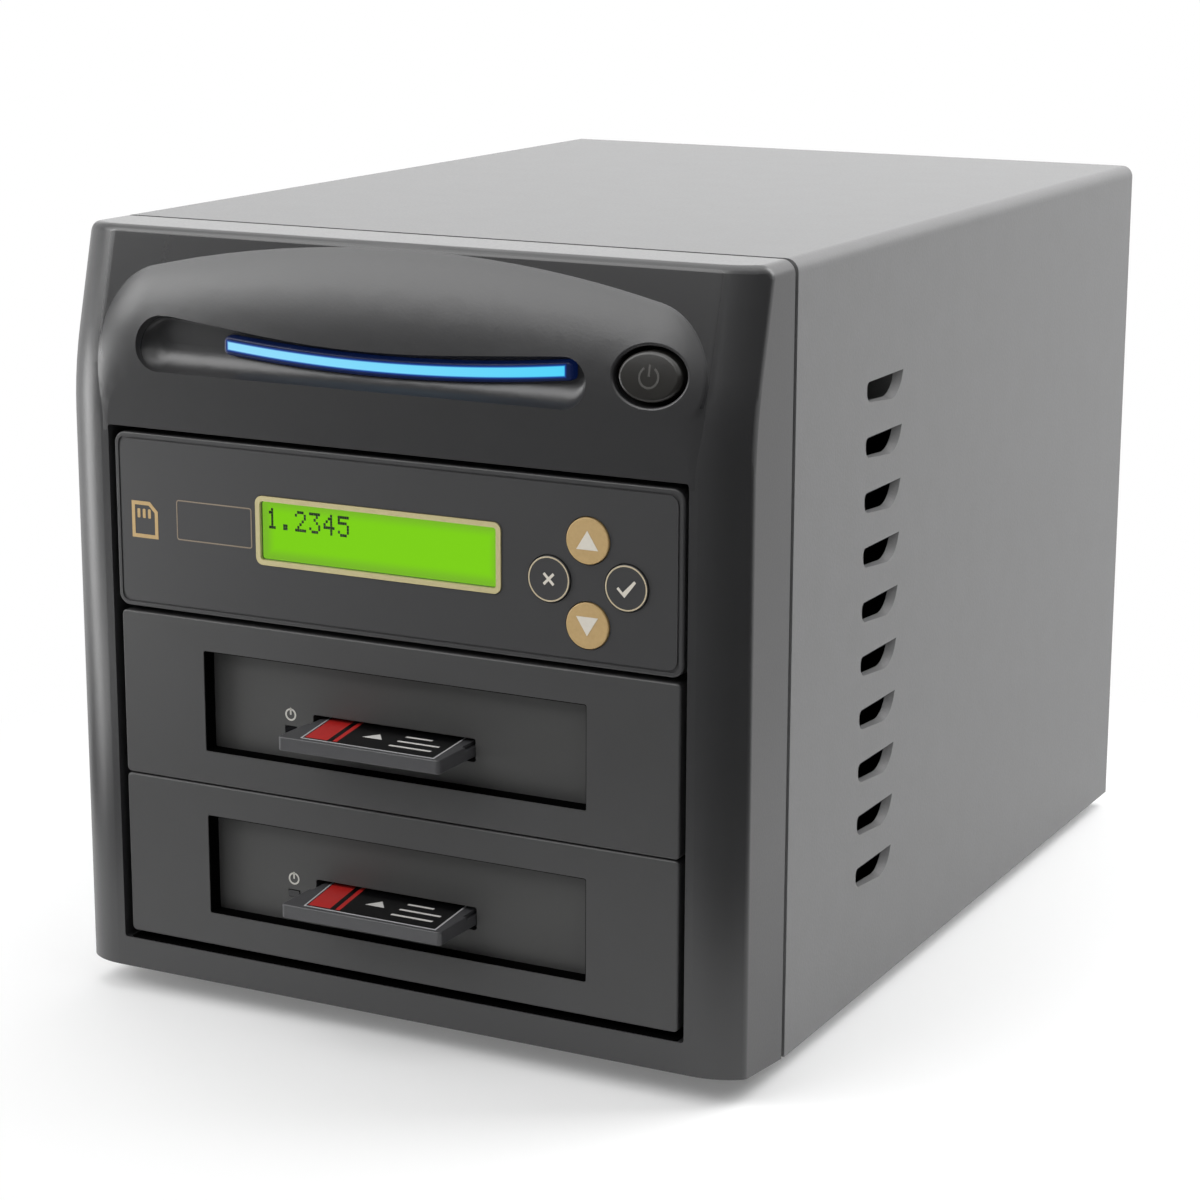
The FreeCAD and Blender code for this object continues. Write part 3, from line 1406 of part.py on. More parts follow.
def fan_rotor(kind, x, y, z):
    # Hub with twisted blades, each lofted from its root chord to its tip chord.
    body = new_body(f"{kind}_rotor", x, f"{y} + strut + tip_gap / 2", z)
    depth = f"({kind}_depth - strut - 2 * tip_gap)"
    hub = new_sketch(body, "XZ")
    disc(hub, "0", "0", f"{kind}_hub")
    pad(body, hub, depth, flip=True)
    soften(body, "hub_round", lambda edge: lies_at(edge, 1, depth))
    sketch = new_sketch(body, "XZ")
    disc(sketch, "0", "0", "shaft")
    pad(body, sketch, "strut + tip_gap / 2")
    root = f"{kind}_hub / 2 - root_sink"
    tip = f"sqrt(({kind}_bore / 2 - tip_gap)^2 - ({depth} * tip_rise + blade)^2)"
    sections = []
    for radius, run, rise in ((root, "root_run", "root_rise"), (tip, "tip_run", "tip_rise")):
        sketch = new_sketch(body, "YZ", radius)
        fore = f"{depth} * (1 - 2 * {run}) / 2"
        aft = f"{depth} * (1 + 2 * {run}) / 2"
        reach = f"{depth} * {rise}"
        outline(sketch, [
            (fore, f"-{reach}"), (f"{fore} + blade", f"-{reach} - blade / 2"),
            (aft, reach), (f"{aft} - blade", f"{reach} + blade / 2")])
        sections.append(sketch)
    blade = body.newObject("PartDesign::AdditiveLoft", body.Name + "_blade")
    blade.Profile = sections[0]
    blade.Sections = sections[1:]
    blade.Ruled = True
    turn_round(body, blade, (hub, ["N_Axis"]), f"{kind}_blades")
    return body


def make_fan_guard():
    # Wire guard: rings on a cross of two bars, with an eye over each fan screw.
    body = new_body("fan_guard", "0", "rear - sheet", "fan_z")
    corners = [(f"{i} * fan_pitch / 2", f"{j} * fan_pitch / 2") for i in (-1, 1) for j in (-1, 1)]
    sketch = new_sketch(body, "XZ")
    for x, z in corners:
        disc(sketch, x, z, "screw_head + wire")
    pad(body, sketch, "wire", flip=True)
    reach = "fan_pitch / 2"
    thin = "wire * sqrt(2) / 4"
    bar = [(f"{thin} - {reach}", f"-{reach} - {thin}"), (f"{reach} + {thin}", f"{reach} - {thin}"),
           (f"{reach} - {thin}", f"{reach} + {thin}"), (f"-{reach} - {thin}", f"{thin} - {reach}")]
    for side in (-1, 1):
        sketch = new_sketch(body, "XZ")
        outline(sketch, [(f"{side} * ({x})", z) for x, z in bar])
        pad(body, sketch, "wire", flip=True)
    for ring in range(1, SIZES["guard_rings"] + 1):
        sketch = new_sketch(body, "XZ", "wire")
        disc(sketch, "0", "0", f"case_fan_bore * {ring} / guard_rings - 2 * wire")
        disc(sketch, "0", "0", f"case_fan_bore * {ring} / guard_rings - 4 * wire")
        pad(body, sketch, "wire", flip=True)
    sketch = new_sketch(body, "XZ")
    for x, z in corners:
        disc(sketch, x, z, "screw_shank + 2 * screw_play")
    pocket(body, sketch, "wire")
    return body


def screws(label, places, seat, reach):
    # Screw group: heads on the seat, shanks reaching forward into what they hold.
    body = new_body(label)
    for diameter, at, length, flip in (("screw_head", seat, "screw_head_height", True),
                                       ("screw_shank", seat, reach, False)):
        sketch = new_sketch(body, "XZ", at)
        for x, z in places:
            disc(sketch, x, z, diameter)
        pad(body, sketch, length, flip=flip)
    return body


def build():
    parts = [make_cover(), make_base_pan(), make_front_panel(), make_rear_panel(), make_feet(),
             make_cage("cage_left", -1), make_cage("cage_right", 1), make_bay_screws(), make_shelf()]
    parts += [make_bezel(), make_light_bar(), make_front_board(), make_power_switch(), make_power_button()]
    parts += [make_faceplate(), make_trim(), make_pane(), make_display_module(),
              make_keypad_board(), make_keypad_switches(), make_tray(), make_controller_board()]
    parts += [make_key(label, x, z) for label, x, z in key_places()]
    for name, floor, port in readers():
        parts += [make_bay_frame(f"bay_frame_{name}", floor), make_bracket(f"bay_bracket_{name}", floor)]
        parts += [make_reader_face(f"reader_face_{name}", floor)]
        parts += [make_reader_shell(f"reader_shell_{name}", floor)]
        parts += [make_reader_board(f"reader_board_{name}", floor, port)]
        parts += [make_socket(f"card_socket_{name}", floor), make_lamp(f"status_lamp_{name}", floor)]
        parts += [make_card(f"memory_card_{name}", floor)]
    parts += [make_supply_case(), make_supply_lid(), make_supply_board(), make_inlet(), make_inlet_pins()]
    supply_fan = ("supply_x + supply_fan_x", "back_y - sheet - supply_fan_depth",
                  "shelf_top + supply_height / 2")
    parts += [fan_frame("supply_fan", *supply_fan), fan_rotor("supply_fan", *supply_fan)]
    case_fan = ("0", "fan_y", "fan_z")
    parts += [fan_frame("case_fan", *case_fan), fan_rotor("case_fan", *case_fan)]
    parts.append(make_fan_guard())
    parts.append(screws("fan_screws", fan_places(), "rear - sheet + wire", "wire + sheet"))
    parts.append(screws("cover_screws", lip_places(), "rear", "2 * sheet"))
    parts += make_cables()
    return parts


def check(parts):
    doc.recompute()
    bad = [item.Name for item in doc.Objects if "Invalid" in item.State or "Error" in item.State]
    bad += [part.Label for part in parts if part.Shape.isNull() or not part.Shape.isValid()]
    if bad:
        raise RuntimeError("failed: " + ", ".join(bad))


parts = build()
check(parts)
os.makedirs("parts", exist_ok=True)
for part in parts:
    part.Shape.exportStep(f"parts/{part.Label}.step")
    box = part.Shape.BoundBox
    print(f"{part.Label:20s} {len(part.Shape.Solids)} solids {part.Shape.Volume:9.0f} mm3", box)
print(len(parts), "parts")
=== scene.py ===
import math

import bmesh
import bpy
from mathutils import Matrix, Vector


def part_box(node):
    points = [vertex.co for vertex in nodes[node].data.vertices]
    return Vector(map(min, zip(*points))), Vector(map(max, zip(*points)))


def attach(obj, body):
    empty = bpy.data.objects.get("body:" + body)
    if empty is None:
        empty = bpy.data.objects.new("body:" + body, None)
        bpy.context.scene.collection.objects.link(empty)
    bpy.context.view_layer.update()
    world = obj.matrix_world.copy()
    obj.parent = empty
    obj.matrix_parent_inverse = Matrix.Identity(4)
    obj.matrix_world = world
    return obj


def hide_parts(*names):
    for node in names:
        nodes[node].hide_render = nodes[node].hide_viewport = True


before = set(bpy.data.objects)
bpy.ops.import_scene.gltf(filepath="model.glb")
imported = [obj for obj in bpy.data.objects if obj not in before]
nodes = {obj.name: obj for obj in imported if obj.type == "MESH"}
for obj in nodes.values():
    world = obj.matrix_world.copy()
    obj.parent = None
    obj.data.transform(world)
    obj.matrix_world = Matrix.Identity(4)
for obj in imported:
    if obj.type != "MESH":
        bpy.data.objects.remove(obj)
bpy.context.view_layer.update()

mm = 0.001


def linear(hexText):
    # sRGB hex to the linear colour that a shader takes
    parts = [int(hexText[i:i + 2], 16) / 255 for i in (1, 3, 5)]
    return [p / 12.92 if p <= 0.04045 else ((p + 0.055) / 1.055) ** 2.4 for p in parts] + [1.0]


def addNode(tree, kind, inputs=None, links=None, **settings):
    # a Mix of colours takes sockets 6 and 7 and gives 2, a Mix of numbers takes 2 and 3 and gives 0
    node = tree.nodes.new(kind)
    for key, setting in settings.items():
        setattr(node, key, setting)
    for key, number in (inputs or {}).items():
        node.inputs[key].default_value = number
    for key, socket in (links or {}).items():
        tree.links.new(socket, node.inputs[key])
    return node


def seenRays(tree):
    # 1 for the rays that reach the eye straight, mirrored or through a pane
    rays = addNode(tree, "ShaderNodeLightPath")
    seen = addNode(tree, "ShaderNodeMath",
                   links={0: rays.outputs["Is Camera Ray"], 1: rays.outputs["Is Glossy Ray"]}, operation="MAXIMUM")
    seen = addNode(tree, "ShaderNodeMath",
                   links={0: seen.outputs[0], 1: rays.outputs["Is Transmission Ray"]}, operation="MAXIMUM")
    return seen.outputs[0]


def newMaterial(name, rough, metal=0.0, ior=1.5, sheen=0.5):
    material = bpy.data.materials.new(name)
    material.use_nodes = True
    tree = material.node_tree
    shader = tree.nodes["Principled BSDF"]
    shader.inputs["Roughness"].default_value = rough
    shader.inputs["Metallic"].default_value = metal
    shader.inputs["Specular IOR Level"].default_value = sheen
    if metal == 0:
        shader.inputs["IOR"].default_value = ior
    place = addNode(tree, "ShaderNodeTexCoord").outputs["Object"]
    return material, tree, shader, place


def grained(name, look):
    # a moulded, sprayed or plated surface: two tones in soft patches, fine grit in bump and gloss; sizes in mm
    material, tree, shader, place = newMaterial(name, look["rough"], look.get("metal", 0.0),
                                                look.get("ior", 1.5), look.get("sheen", 0.5))
    patch = addNode(tree, "ShaderNodeTexNoise", {"Scale": 1 / (look["patch"] * mm), "Detail": 3.0},
                    {"Vector": place})
    tone = addNode(tree, "ShaderNodeMix", {6: linear(look["colour"]), 7: linear(look["fleck"])},
                   {0: patch.outputs[0]}, data_type="RGBA")
    tree.links.new(tone.outputs[2], shader.inputs["Base Color"])
    grit = addNode(tree, "ShaderNodeTexNoise", {"Scale": 1 / (look["grit"] * mm), "Detail": 2.0},
                   {"Vector": place})
    gloss = addNode(tree, "ShaderNodeMapRange",
                    {3: look["rough"] - look["spread"], 4: look["rough"] + look["spread"]}, {0: grit.outputs[0]})
    tree.links.new(gloss.outputs[0], shader.inputs["Roughness"])
    bump = addNode(tree, "ShaderNodeBump", {"Strength": look["bump"], "Distance": look["grit"] * mm / 4},
                   {"Height": grit.outputs[0]})
    tree.links.new(bump.outputs[0], shader.inputs["Normal"])
    return material


def wear(material, *names):
    for name in names:
        nodes[name].data.materials.clear()
        nodes[name].data.materials.append(material)


def roundBox(x, z, width, height, radius, steps=6):
    points = []
    for turn, (i, j) in enumerate(((1, 1), (-1, 1), (-1, -1), (1, -1))):
        for step in range(steps + 1):
            angle = math.pi / 2 * (turn + step / steps)
            points.append((x + i * (width / 2 - radius) + radius * math.cos(angle),
                           z + j * (height / 2 - radius) + radius * math.sin(angle)))
    return points


def circle(x, z, radius, steps=40):
    turns = [2 * math.pi * i / steps for i in range(steps)]
    return [(x + radius * math.cos(turn), z + radius * math.sin(turn)) for turn in turns]


def plusLoop(x, z, arm, half, tilt=0.0):
    # outline of a plus sign, or of a cross when it is tilted
    points = []
    for turn in range(4):
        angle = math.pi / 2 * turn + tilt
        for px, pz in ((arm, -half), (arm, half), (half, half)):
            points.append((x + px * math.cos(angle) - pz * math.sin(angle),
                           z + px * math.sin(angle) + pz * math.cos(angle)))
    return points


def stroke(points, wide):
    # a line of even width through the points, as one closed loop
    left, right = [], []
    for i, point in enumerate(points):
        before = Vector(points[max(i - 1, 0)])
        after = Vector(points[min(i + 1, len(points) - 1)])
        along = (after - before).normalized()
        side = Vector((-along.y, along.x)) * wide / 2
        if 0 < i < len(points) - 1:
            first = (Vector(point) - before).normalized()
            side = side / max(0.5, abs(first.dot(along)))  # at most twice as wide in a corner
        left.append((point[0] + side.x, point[1] + side.y))
        right.append((point[0] - side.x, point[1] - side.y))
    return left + right[::-1]


def inset(loop, amount):
    # each edge of a convex loop moved inwards, then the edges crossed again
    moved = []
    for i, point in enumerate(loop):
        before, here, after = Vector(loop[i - 1]), Vector(point), Vector(loop[(i + 1) % len(loop)])
        first, second = (here - before).normalized(), (after - here).normalized()
        into, turn = Vector((-first.y, first.x)), first.x * second.y - first.y * second.x
        slide = (into.dot(Vector((-second.y, second.x))) - 1) / turn
        moved.append(tuple(here + (into + first * slide) * amount))
    return moved


def newObject(name, build, material=None):
    mesh = bpy.data.meshes.new(name)
    build.to_mesh(mesh)
    build.free()
    if material:
        mesh.materials.append(material)
    thing = bpy.data.objects.new(name, mesh)
    bpy.context.scene.collection.objects.link(thing)
    return thing


def makePiece(name, build, material, body):
    piece = newObject(name, build, material)
    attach(piece, body)
    return piece


def inlay(name, shapes, plane, thick, material, body, sink=0.02):
    # thin closed pieces on a plane: each shape is (outer loop, inner loop of as many points or None), in mm
    origin, across, upward = (Vector(v) for v in plane)
    out = across.cross(upward)
    build = bmesh.new()

    def ring(loop, level):
        return [build.verts.new(origin + (across * p[0] + upward * p[1] + out * level) * mm) for p in loop]

    for outer, inner in shapes:
        front, rear = ring(outer, thick), ring(outer, -sink)
        pairs = [(i, (i + 1) % len(outer)) for i in range(len(outer))]
        walls = [(front, rear)]
        if inner is None:
            build.faces.new(front)
            build.faces.new(rear[::-1])
        else:
            holeFront, holeRear = ring(inner, thick), ring(inner, -sink)
            walls.append((holeRear, holeFront))
            for i, j in pairs:
                build.faces.new((front[i], front[j], holeFront[j], holeFront[i]))
                build.faces.new((rear[j], rear[i], holeRear[i], holeRear[j]))
        for near, far in walls:
            for i, j in pairs:
                build.faces.new((far[i], far[j], near[j], near[i]))
    bmesh.ops.recalc_face_normals(build, faces=build.faces)
    return makePiece(name, build, material, body)


def onFront(y):
    return (0, y, 0), (1, 0, 0), (0, 0, 1)


def onTop(z, x=0, y=0):
    return (x, y, z), (1, 0, 0), (0, 1, 0)


print("stage 1: camera and stage")
view = {"azimuth": 27.176, "elevation": 13.572, "roll": 0.197, "eye": (0.35430, -0.70952, 0.27213),
        "focalPixels": 3089.168, "framePixels": 1200, "sensor": 36.0}
camera = bpy.data.objects.new("camera", bpy.data.cameras.new("camera"))
bpy.context.scene.collection.objects.link(camera)
camera.matrix_world = (Matrix.Translation(view["eye"])
                       @ Matrix.Rotation(math.radians(view["azimuth"]), 4, "Z")
                       @ Matrix.Rotation(math.radians(90 - view["elevation"]), 4, "X")
                       @ Matrix.Rotation(math.radians(view["roll"]), 4, "Z"))
camera.data.sensor_width = view["sensor"]
camera.data.lens = view["focalPixels"] / view["framePixels"] * view["sensor"]
bpy.context.scene.camera = camera
bpy.context.scene.view_settings.view_transform = "Standard"

# sizes in metres; beyond whiteFrom to whiteTo the floor turns into the white backdrop
stage = {"floorSize": 6.0, "floorTone": "#f2f2f2", "floorLift": 0.15, "whiteFrom": 0.15, "whiteTo": 0.26,
         "ambient": 0.2, "backdrop": 1.0}
world = bpy.data.worlds.new("studio")
world.use_nodes = True
bpy.context.scene.world = world
tree = world.node_tree
level = addNode(tree, "ShaderNodeMapRange", {3: stage["ambient"], 4: stage["backdrop"]}, {0: seenRays(tree)})
tree.nodes["Background"].inputs[0].default_value = (1, 1, 1, 1)
tree.links.new(level.outputs[0], tree.nodes["Background"].inputs[1])

# matt paper sweep: white where it is lit, with the soft grey shadow; clear from below, to show the feet
paper, tree, shader, place = newMaterial("mattPaper", 1.0, sheen=0.0)
shader.inputs["Base Color"].default_value = linear(stage["floorTone"])
seen = seenRays(tree)
lift = addNode(tree, "ShaderNodeMath", {1: stage["floorLift"]}, {0: seen}, operation="MULTIPLY")
shader.inputs["Emission Color"].default_value = (1, 1, 1, 1)
tree.links.new(lift.outputs[0], shader.inputs["Emission Strength"])
reach = addNode(tree, "ShaderNodeVectorMath", links={0: place}, operation="LENGTH")
far = addNode(tree, "ShaderNodeMapRange", {1: stage["whiteFrom"], 2: stage["whiteTo"]},
              {0: reach.outputs["Value"]}, interpolation_type="SMOOTHSTEP")
far = addNode(tree, "ShaderNodeMath", links={0: far.outputs[0], 1: seen}, operation="MULTIPLY")
white = addNode(tree, "ShaderNodeEmission")
blend = addNode(tree, "ShaderNodeMixShader", links={0: far.outputs[0], 1: shader.outputs[0], 2: white.outputs[0]})
side = addNode(tree, "ShaderNodeNewGeometry")
clear = addNode(tree, "ShaderNodeBsdfTransparent")
blend = addNode(tree, "ShaderNodeMixShader",
                links={0: side.outputs["Backfacing"], 1: blend.outputs[0], 2: clear.outputs[0]})
tree.links.new(blend.outputs[0], tree.nodes["Material Output"].inputs[0])
build = bmesh.new()
bmesh.ops.create_grid(build, x_segments=1, y_segments=1, size=stage["floorSize"] / 2)
floor = newObject("floor", build, paper)

# black velvet flags: a sheet on the floor and a low wall round the front, seen only in its reflections
flags = {"tone": "#050505", "from": -165, "to": 5, "steps": 24,
         "rows": ((0.24, 0.004), (1.05, 0.004), (1.05, 0.6))}  # radius and height in metres
velvet, tree, shader, place = newMaterial("blackVelvet", 1.0, sheen=0.0)
shader.inputs["Base Color"].default_value = linear(flags["tone"])
build = bmesh.new()
turns = [math.radians(flags["from"] + (flags["to"] - flags["from"]) * i / flags["steps"])
         for i in range(flags["steps"] + 1)]
rows = [[build.verts.new((radius * math.cos(turn), radius * math.sin(turn), height)) for turn in turns]
        for radius, height in flags["rows"]]
for below, above in zip(rows, rows[1:]):
    for i in range(flags["steps"]):
        build.faces.new((below[i], below[i + 1], above[i + 1], above[i]))
flag = newObject("blackCards", build, velvet)
flag.visible_camera = False
flag.visible_diffuse = False
flag.visible_shadow = False
flag.visible_transmission = False

# softboxes: place, aim and size in metres, radiance sets the power
lamps = {
    "overhead": {"place": (-0.1, 0.1, 1.5), "aim": (-0.05, 0, 0), "size": (1.7, 2.0), "radiance": 1.2},
    "keyFront": {"place": (-0.7, -1.02, 1.15), "aim": (0, -0.1, 0.15), "size": (1.35, 0.8), "radiance": 2.9},
    "stripLeft": {"place": (-0.6, -0.34, 0.11), "aim": (0, -0.12, 0.1), "size": (0.25, 0.2), "radiance": 7.0},
    "browGlint": {"place": (-0.72, -0.59, 0.5), "aim": (-0.07, -0.12, 0.17), "size": (0.24, 0.26),
                  "radiance": 7.0},
    "stripFloor": {"place": (-0.43, -0.255, 0.012), "aim": (-0.43, -0.2, 1.0), "size": (0.42, 0.11),
                   "radiance": 6.0},
    "rearGlow": {"place": (-0.85, 1.65, 0.62), "aim": (0, 0, 0.15), "size": (2.4, 1.2), "radiance": 0.95},
    "rimRight": {"place": (0.5, 0.42, 0.6), "aim": (0.13, 0.22, 0), "size": (0.55, 0.6), "radiance": 4.7},
}
for name, lamp in lamps.items():
    light = bpy.data.lights.new(name, "AREA")
    light.shape = "RECTANGLE"
    light.size, light.size_y = lamp["size"]
    light.energy = lamp["radiance"] * math.pi * lamp["size"][0] * lamp["size"][1]
    holder = bpy.data.objects.new(name, light)
    holder.location = lamp["place"]
    holder.rotation_euler = (Vector(lamp["aim"]) - Vector(lamp["place"])).to_track_quat("-Z", "Y").to_euler()
    holder.visible_camera = False
    bpy.context.scene.collection.objects.link(holder)

print("stage 2: case and metalwork")
# powder-coated steel: sprayed and baked, a charcoal satin skin with a fine orange peel
coatLook = {"colour": "#757575", "fleck": "#7a7a7b", "patch": 9.0, "rough": 0.5, "spread": 0.06, "grit": 0.7,
            "bump": 0.22}
wear(grained("powderCoatedSteel", coatLook), "cover")

# galvanised steel: hot-dipped sheet, pale grey with soft crystal patches
zincLook = {"colour": "#8f9294", "fleck": "#a9adb0", "patch": 5.0, "rough": 0.42, "spread": 0.1, "grit": 1.2,
            "bump": 0.06, "metal": 1.0}
wear(grained("galvanisedSteel", zincLook), "rear_panel", "base_pan", "supply_case", "supply_lid",
     "controller_tray", "bay_bracket_lower", "bay_bracket_upper", "reader_shell_lower", "reader_shell_upper")

# dip-coated steel: thin black paint, so the folded parts behind the front and the vents stay dark
dipLook = {"colour": "#1c1c1d", "fleck": "#232324", "patch": 6.0, "rough": 0.55, "spread": 0.05, "grit": 0.6,
           "bump": 0.1}
wear(grained("dipCoatedSteel", dipLook), "front_panel", "cage_left", "cage_right", "supply_shelf")

# zinc-plated steel: bright, bluish white wire, pins and screws
platedLook = {"colour": "#b4b7ba", "fleck": "#c8cacc", "patch": 2.0, "rough": 0.3, "spread": 0.06, "grit": 0.3,
              "bump": 0.04, "metal": 1.0}
wear(grained("zincPlatedSteel", platedLook), "bay_screws", "fan_guard", "inlet_pins")

# moulded rubber: matt black feet with hardly a highlight
rubberLook = {"colour": "#18181a", "fleck": "#222224", "patch": 3.0, "rough": 0.75, "spread": 0.05, "grit": 0.4,
              "bump": 0.15}
wear(grained("mouldedRubber", rubberLook), "feet")

# glass-filled nylon: dull black mouldings of the fans, inlet, switches and card guides
nylonLook = {"colour": "#1b1b1c", "fleck": "#262627", "patch": 4.0, "rough": 0.5, "spread": 0.08, "grit": 0.4,
             "bump": 0.12}
wear(grained("glassFilledNylon", nylonLook), "supply_fan_frame", "supply_fan_rotor", "case_fan_frame",
     "case_fan_rotor", "mains_inlet", "power_switch", "keypad_switches", "card_socket_lower", "card_socket_upper")

# PVC leads: soft grey flat cable
leadLook = {"colour": "#55585c", "fleck": "#62656a", "patch": 2.0, "rough": 0.5, "spread": 0.05, "grit": 0.5,
            "bump": 0.1}
wear(grained("flatPvcLead", leadLook), "data_cable_lower", "data_cable_upper", "power_lead")

print("stage 3: front mouldings")
# satin ABS: moulded in a spark-eroded tool, soft broad highlights on a near-black body
bezelLook = {"colour": "#2f2f30", "fleck": "#333334", "patch": 14.0, "rough": 0.34, "spread": 0.05, "grit": 0.6,
             "bump": 0.1, "ior": 1.54, "sheen": 0.6}
satinAbs = grained("satinAbs", bezelLook)
# the sloped face round the brow is polished finer and mirrors the dark flags more sharply, and its colour is
# darkened there as painted shade:
# the mask is the distance from that plane (lean in degrees, the rest in mm) times the height
slope = {"lean": 14.7, "plane": 160.44, "near": 0.08, "away": 0.3, "foot": 155.0, "head": 158.0,
         "colour": "#272728", "rough": 0.27, "bump": 0.01}
tree = satinAbs.node_tree
shader = tree.nodes["Principled BSDF"]
place = addNode(tree, "ShaderNodeTexCoord").outputs["Object"]
lean = math.radians(slope["lean"])
proud = addNode(tree, "ShaderNodeVectorMath", {1: (0, -math.cos(lean), math.sin(lean))}, {0: place},
                operation="DOT_PRODUCT")
proud = addNode(tree, "ShaderNodeMath", {1: slope["plane"] * mm}, {0: proud.outputs["Value"]},
                operation="SUBTRACT")
proud = addNode(tree, "ShaderNodeMath", links={0: proud.outputs[0]}, operation="ABSOLUTE")
proud = addNode(tree, "ShaderNodeMapRange", {1: slope["near"] * mm, 2: slope["away"] * mm, 3: 1.0, 4: 0.0},
                {0: proud.outputs[0]})
height = addNode(tree, "ShaderNodeSeparateXYZ", links={0: place})
height = addNode(tree, "ShaderNodeMapRange", {1: slope["foot"] * mm, 2: slope["head"] * mm},
                 {0: height.outputs["Z"]})
share = addNode(tree, "ShaderNodeMath", links={0: proud.outputs[0], 1: height.outputs[0]}, operation="MULTIPLY")
# painted shade: the base colour turns darker on the sloped face above the brow
tone = addNode(tree, "ShaderNodeMix", {7: linear(slope["colour"])},
               {0: share.outputs[0], 6: shader.inputs["Base Color"].links[0].from_socket}, data_type="RGBA")
gloss = addNode(tree, "ShaderNodeMix", {3: slope["rough"]},
                {0: share.outputs[0], 2: shader.inputs["Roughness"].links[0].from_socket})
grain = addNode(tree, "ShaderNodeMapRange", {3: bezelLook["bump"], 4: slope["bump"]}, {0: share.outputs[0]})
tree.links.new(tone.outputs[2], shader.inputs["Base Color"])
tree.links.new(gloss.outputs[0], shader.inputs["Roughness"])
tree.links.new(grain.outputs[0], shader.inputs["Normal"].links[0].from_node.inputs["Strength"])
wear(satinAbs, "front_bezel")

# textured and dull ABS: the bay panels and reader faces, a shade lighter and duller than the bezel
bayLook = {"colour": "#393939", "fleck": "#3d3d3e", "patch": 12.0, "rough": 0.5, "spread": 0.05, "grit": 0.6,
           "bump": 0.12, "ior": 1.54}
wear(grained("texturedAbs", bayLook), "bay_frame_lower", "bay_frame_upper")
readerLook = dict(bayLook, colour="#3b3b3b", fleck="#3e3e3d", rough=0.55)
wear(grained("dullAbs", readerLook), "reader_face_lower", "reader_face_upper")

# matt polyester overlay on the display panel: smooth, bluish black
overlayLook = {"colour": "#3a3a3b", "fleck": "#3d3d3e", "patch": 20.0, "rough": 0.42, "spread": 0.03, "grit": 0.5,
               "bump": 0.05, "ior": 1.57, "sheen": 0.45}
overlay = grained("mattPolyesterOverlay", overlayLook)
wear(overlay, "display_faceplate", "key_escape", "key_confirm")

# gloss ABS: a warm black button with a small, clear highlight
buttonLook = {"colour": "#252422", "fleck": "#292826", "patch": 6.0, "rough": 0.3, "spread": 0.04, "grit": 0.5,
              "bump": 0.05, "ior": 1.54}
wear(grained("glossAbs", buttonLook), "power_button")

# metallic gold inks on the keys, trim and rings: pale brass flakes in a matt binder
goldLook = {"colour": "#ad905d", "fleck": "#bb9e6d", "patch": 0.8, "rough": 0.5, "spread": 0.08, "grit": 0.25,
            "bump": 0.05}
gold = grained("goldMetallicInk", goldLook)
wear(gold, "key_up", "key_down")
trimLook = dict(goldLook, colour="#b4a97a", fleck="#bfb486")
wear(grained("paleGoldInk", trimLook), "display_trim")
ringInk = grained("champagneInk", dict(goldLook, colour="#b6a98c", fleck="#c0b397"))

# screen inks: flat, crisp marks without shine
whiteLook = {"colour": "#e4e2dd", "fleck": "#eeedea", "patch": 0.8, "rough": 0.55, "spread": 0.05, "grit": 0.2,
             "bump": 0.04}
whiteInk = grained("whiteScreenInk", whiteLook)
keyInk = grained("ivoryScreenInk", dict(whiteLook, colour="#cac4b7", fleck="#d4cfc4"))
bronzeInk = grained("bronzeScreenInk", dict(whiteLook, colour="#7f7160", fleck="#8b7d6a"))
greyInk = grained("greyScreenInk", dict(whiteLook, colour="#b8b6af", fleck="#c2c0b9"))

# smoked polycarbonate: unlit lamps, nearly black with a small glint
lampLook = {"colour": "#101012", "fleck": "#17171a", "patch": 1.0, "rough": 0.2, "spread": 0.03, "grit": 0.4,
            "bump": 0.02, "ior": 1.58}
wear(grained("smokedPolycarbonate", lampLook), "status_lamp_lower", "status_lamp_upper")

# black foam lining in each recess and on the sill: its black is painted shade for walls and a gap that lie in
# shadow; it swallows light, so the reader seems to float
shadeFoamLook = {"colour": "#050505", "fleck": "#080808", "patch": 1.0, "rough": 0.95, "spread": 0.03, "grit": 0.3,
            "bump": 0.3, "sheen": 0.0}
shadeFoam = grained("blackShadeFoam", shadeFoamLook)

print("stage 4: light bar and display")
# frosted acrylic lit from behind: an even cyan core with deep blue edges, in the bar's own shallow smile
# the core is halfLeft to halfRight mm high about a parabola and runs from one end to the other
barLook = {"coreLeft": "#93dcf9", "coreRight": "#4fd3f8", "rim": "#1450bd", "edge": "#040f30", "strength": 1.0,
           "rough": 0.35, "ior": 1.49, "dipX": -3.95, "dipZ": 160.2, "bend": 0.00122, "halfLeft": 0.74,
           "halfRight": 0.95, "from": -43.2, "to": 44.0, "fade": 0.3, "deep": 0.7}
barMiddle, barHalf = (barLook["from"] + barLook["to"]) / 2, (barLook["to"] - barLook["from"]) / 2
material, tree, shader, place = newMaterial("litFrostedAcrylic", barLook["rough"], ior=barLook["ior"])
ends = addNode(tree, "ShaderNodeSeparateXYZ", links={0: place})
along = addNode(tree, "ShaderNodeMath", {1: barLook["dipX"] * mm}, {0: ends.outputs["X"]}, operation="SUBTRACT")
bow = addNode(tree, "ShaderNodeMath", {1: 2.0}, {0: along.outputs[0]}, operation="POWER")
curve = addNode(tree, "ShaderNodeMath", {1: barLook["bend"] / mm, 2: barLook["dipZ"] * mm}, {0: bow.outputs[0]},
                operation="MULTIPLY_ADD")
off = addNode(tree, "ShaderNodeMath", links={0: ends.outputs["Z"], 1: curve.outputs[0]}, operation="SUBTRACT")
off = addNode(tree, "ShaderNodeMath", links={0: off.outputs[0]}, operation="ABSOLUTE")
half = addNode(tree, "ShaderNodeMapRange", {1: barLook["from"] * mm, 2: barLook["to"] * mm,
                                            3: barLook["halfLeft"] * mm, 4: barLook["halfRight"] * mm},
               {0: ends.outputs["X"]})
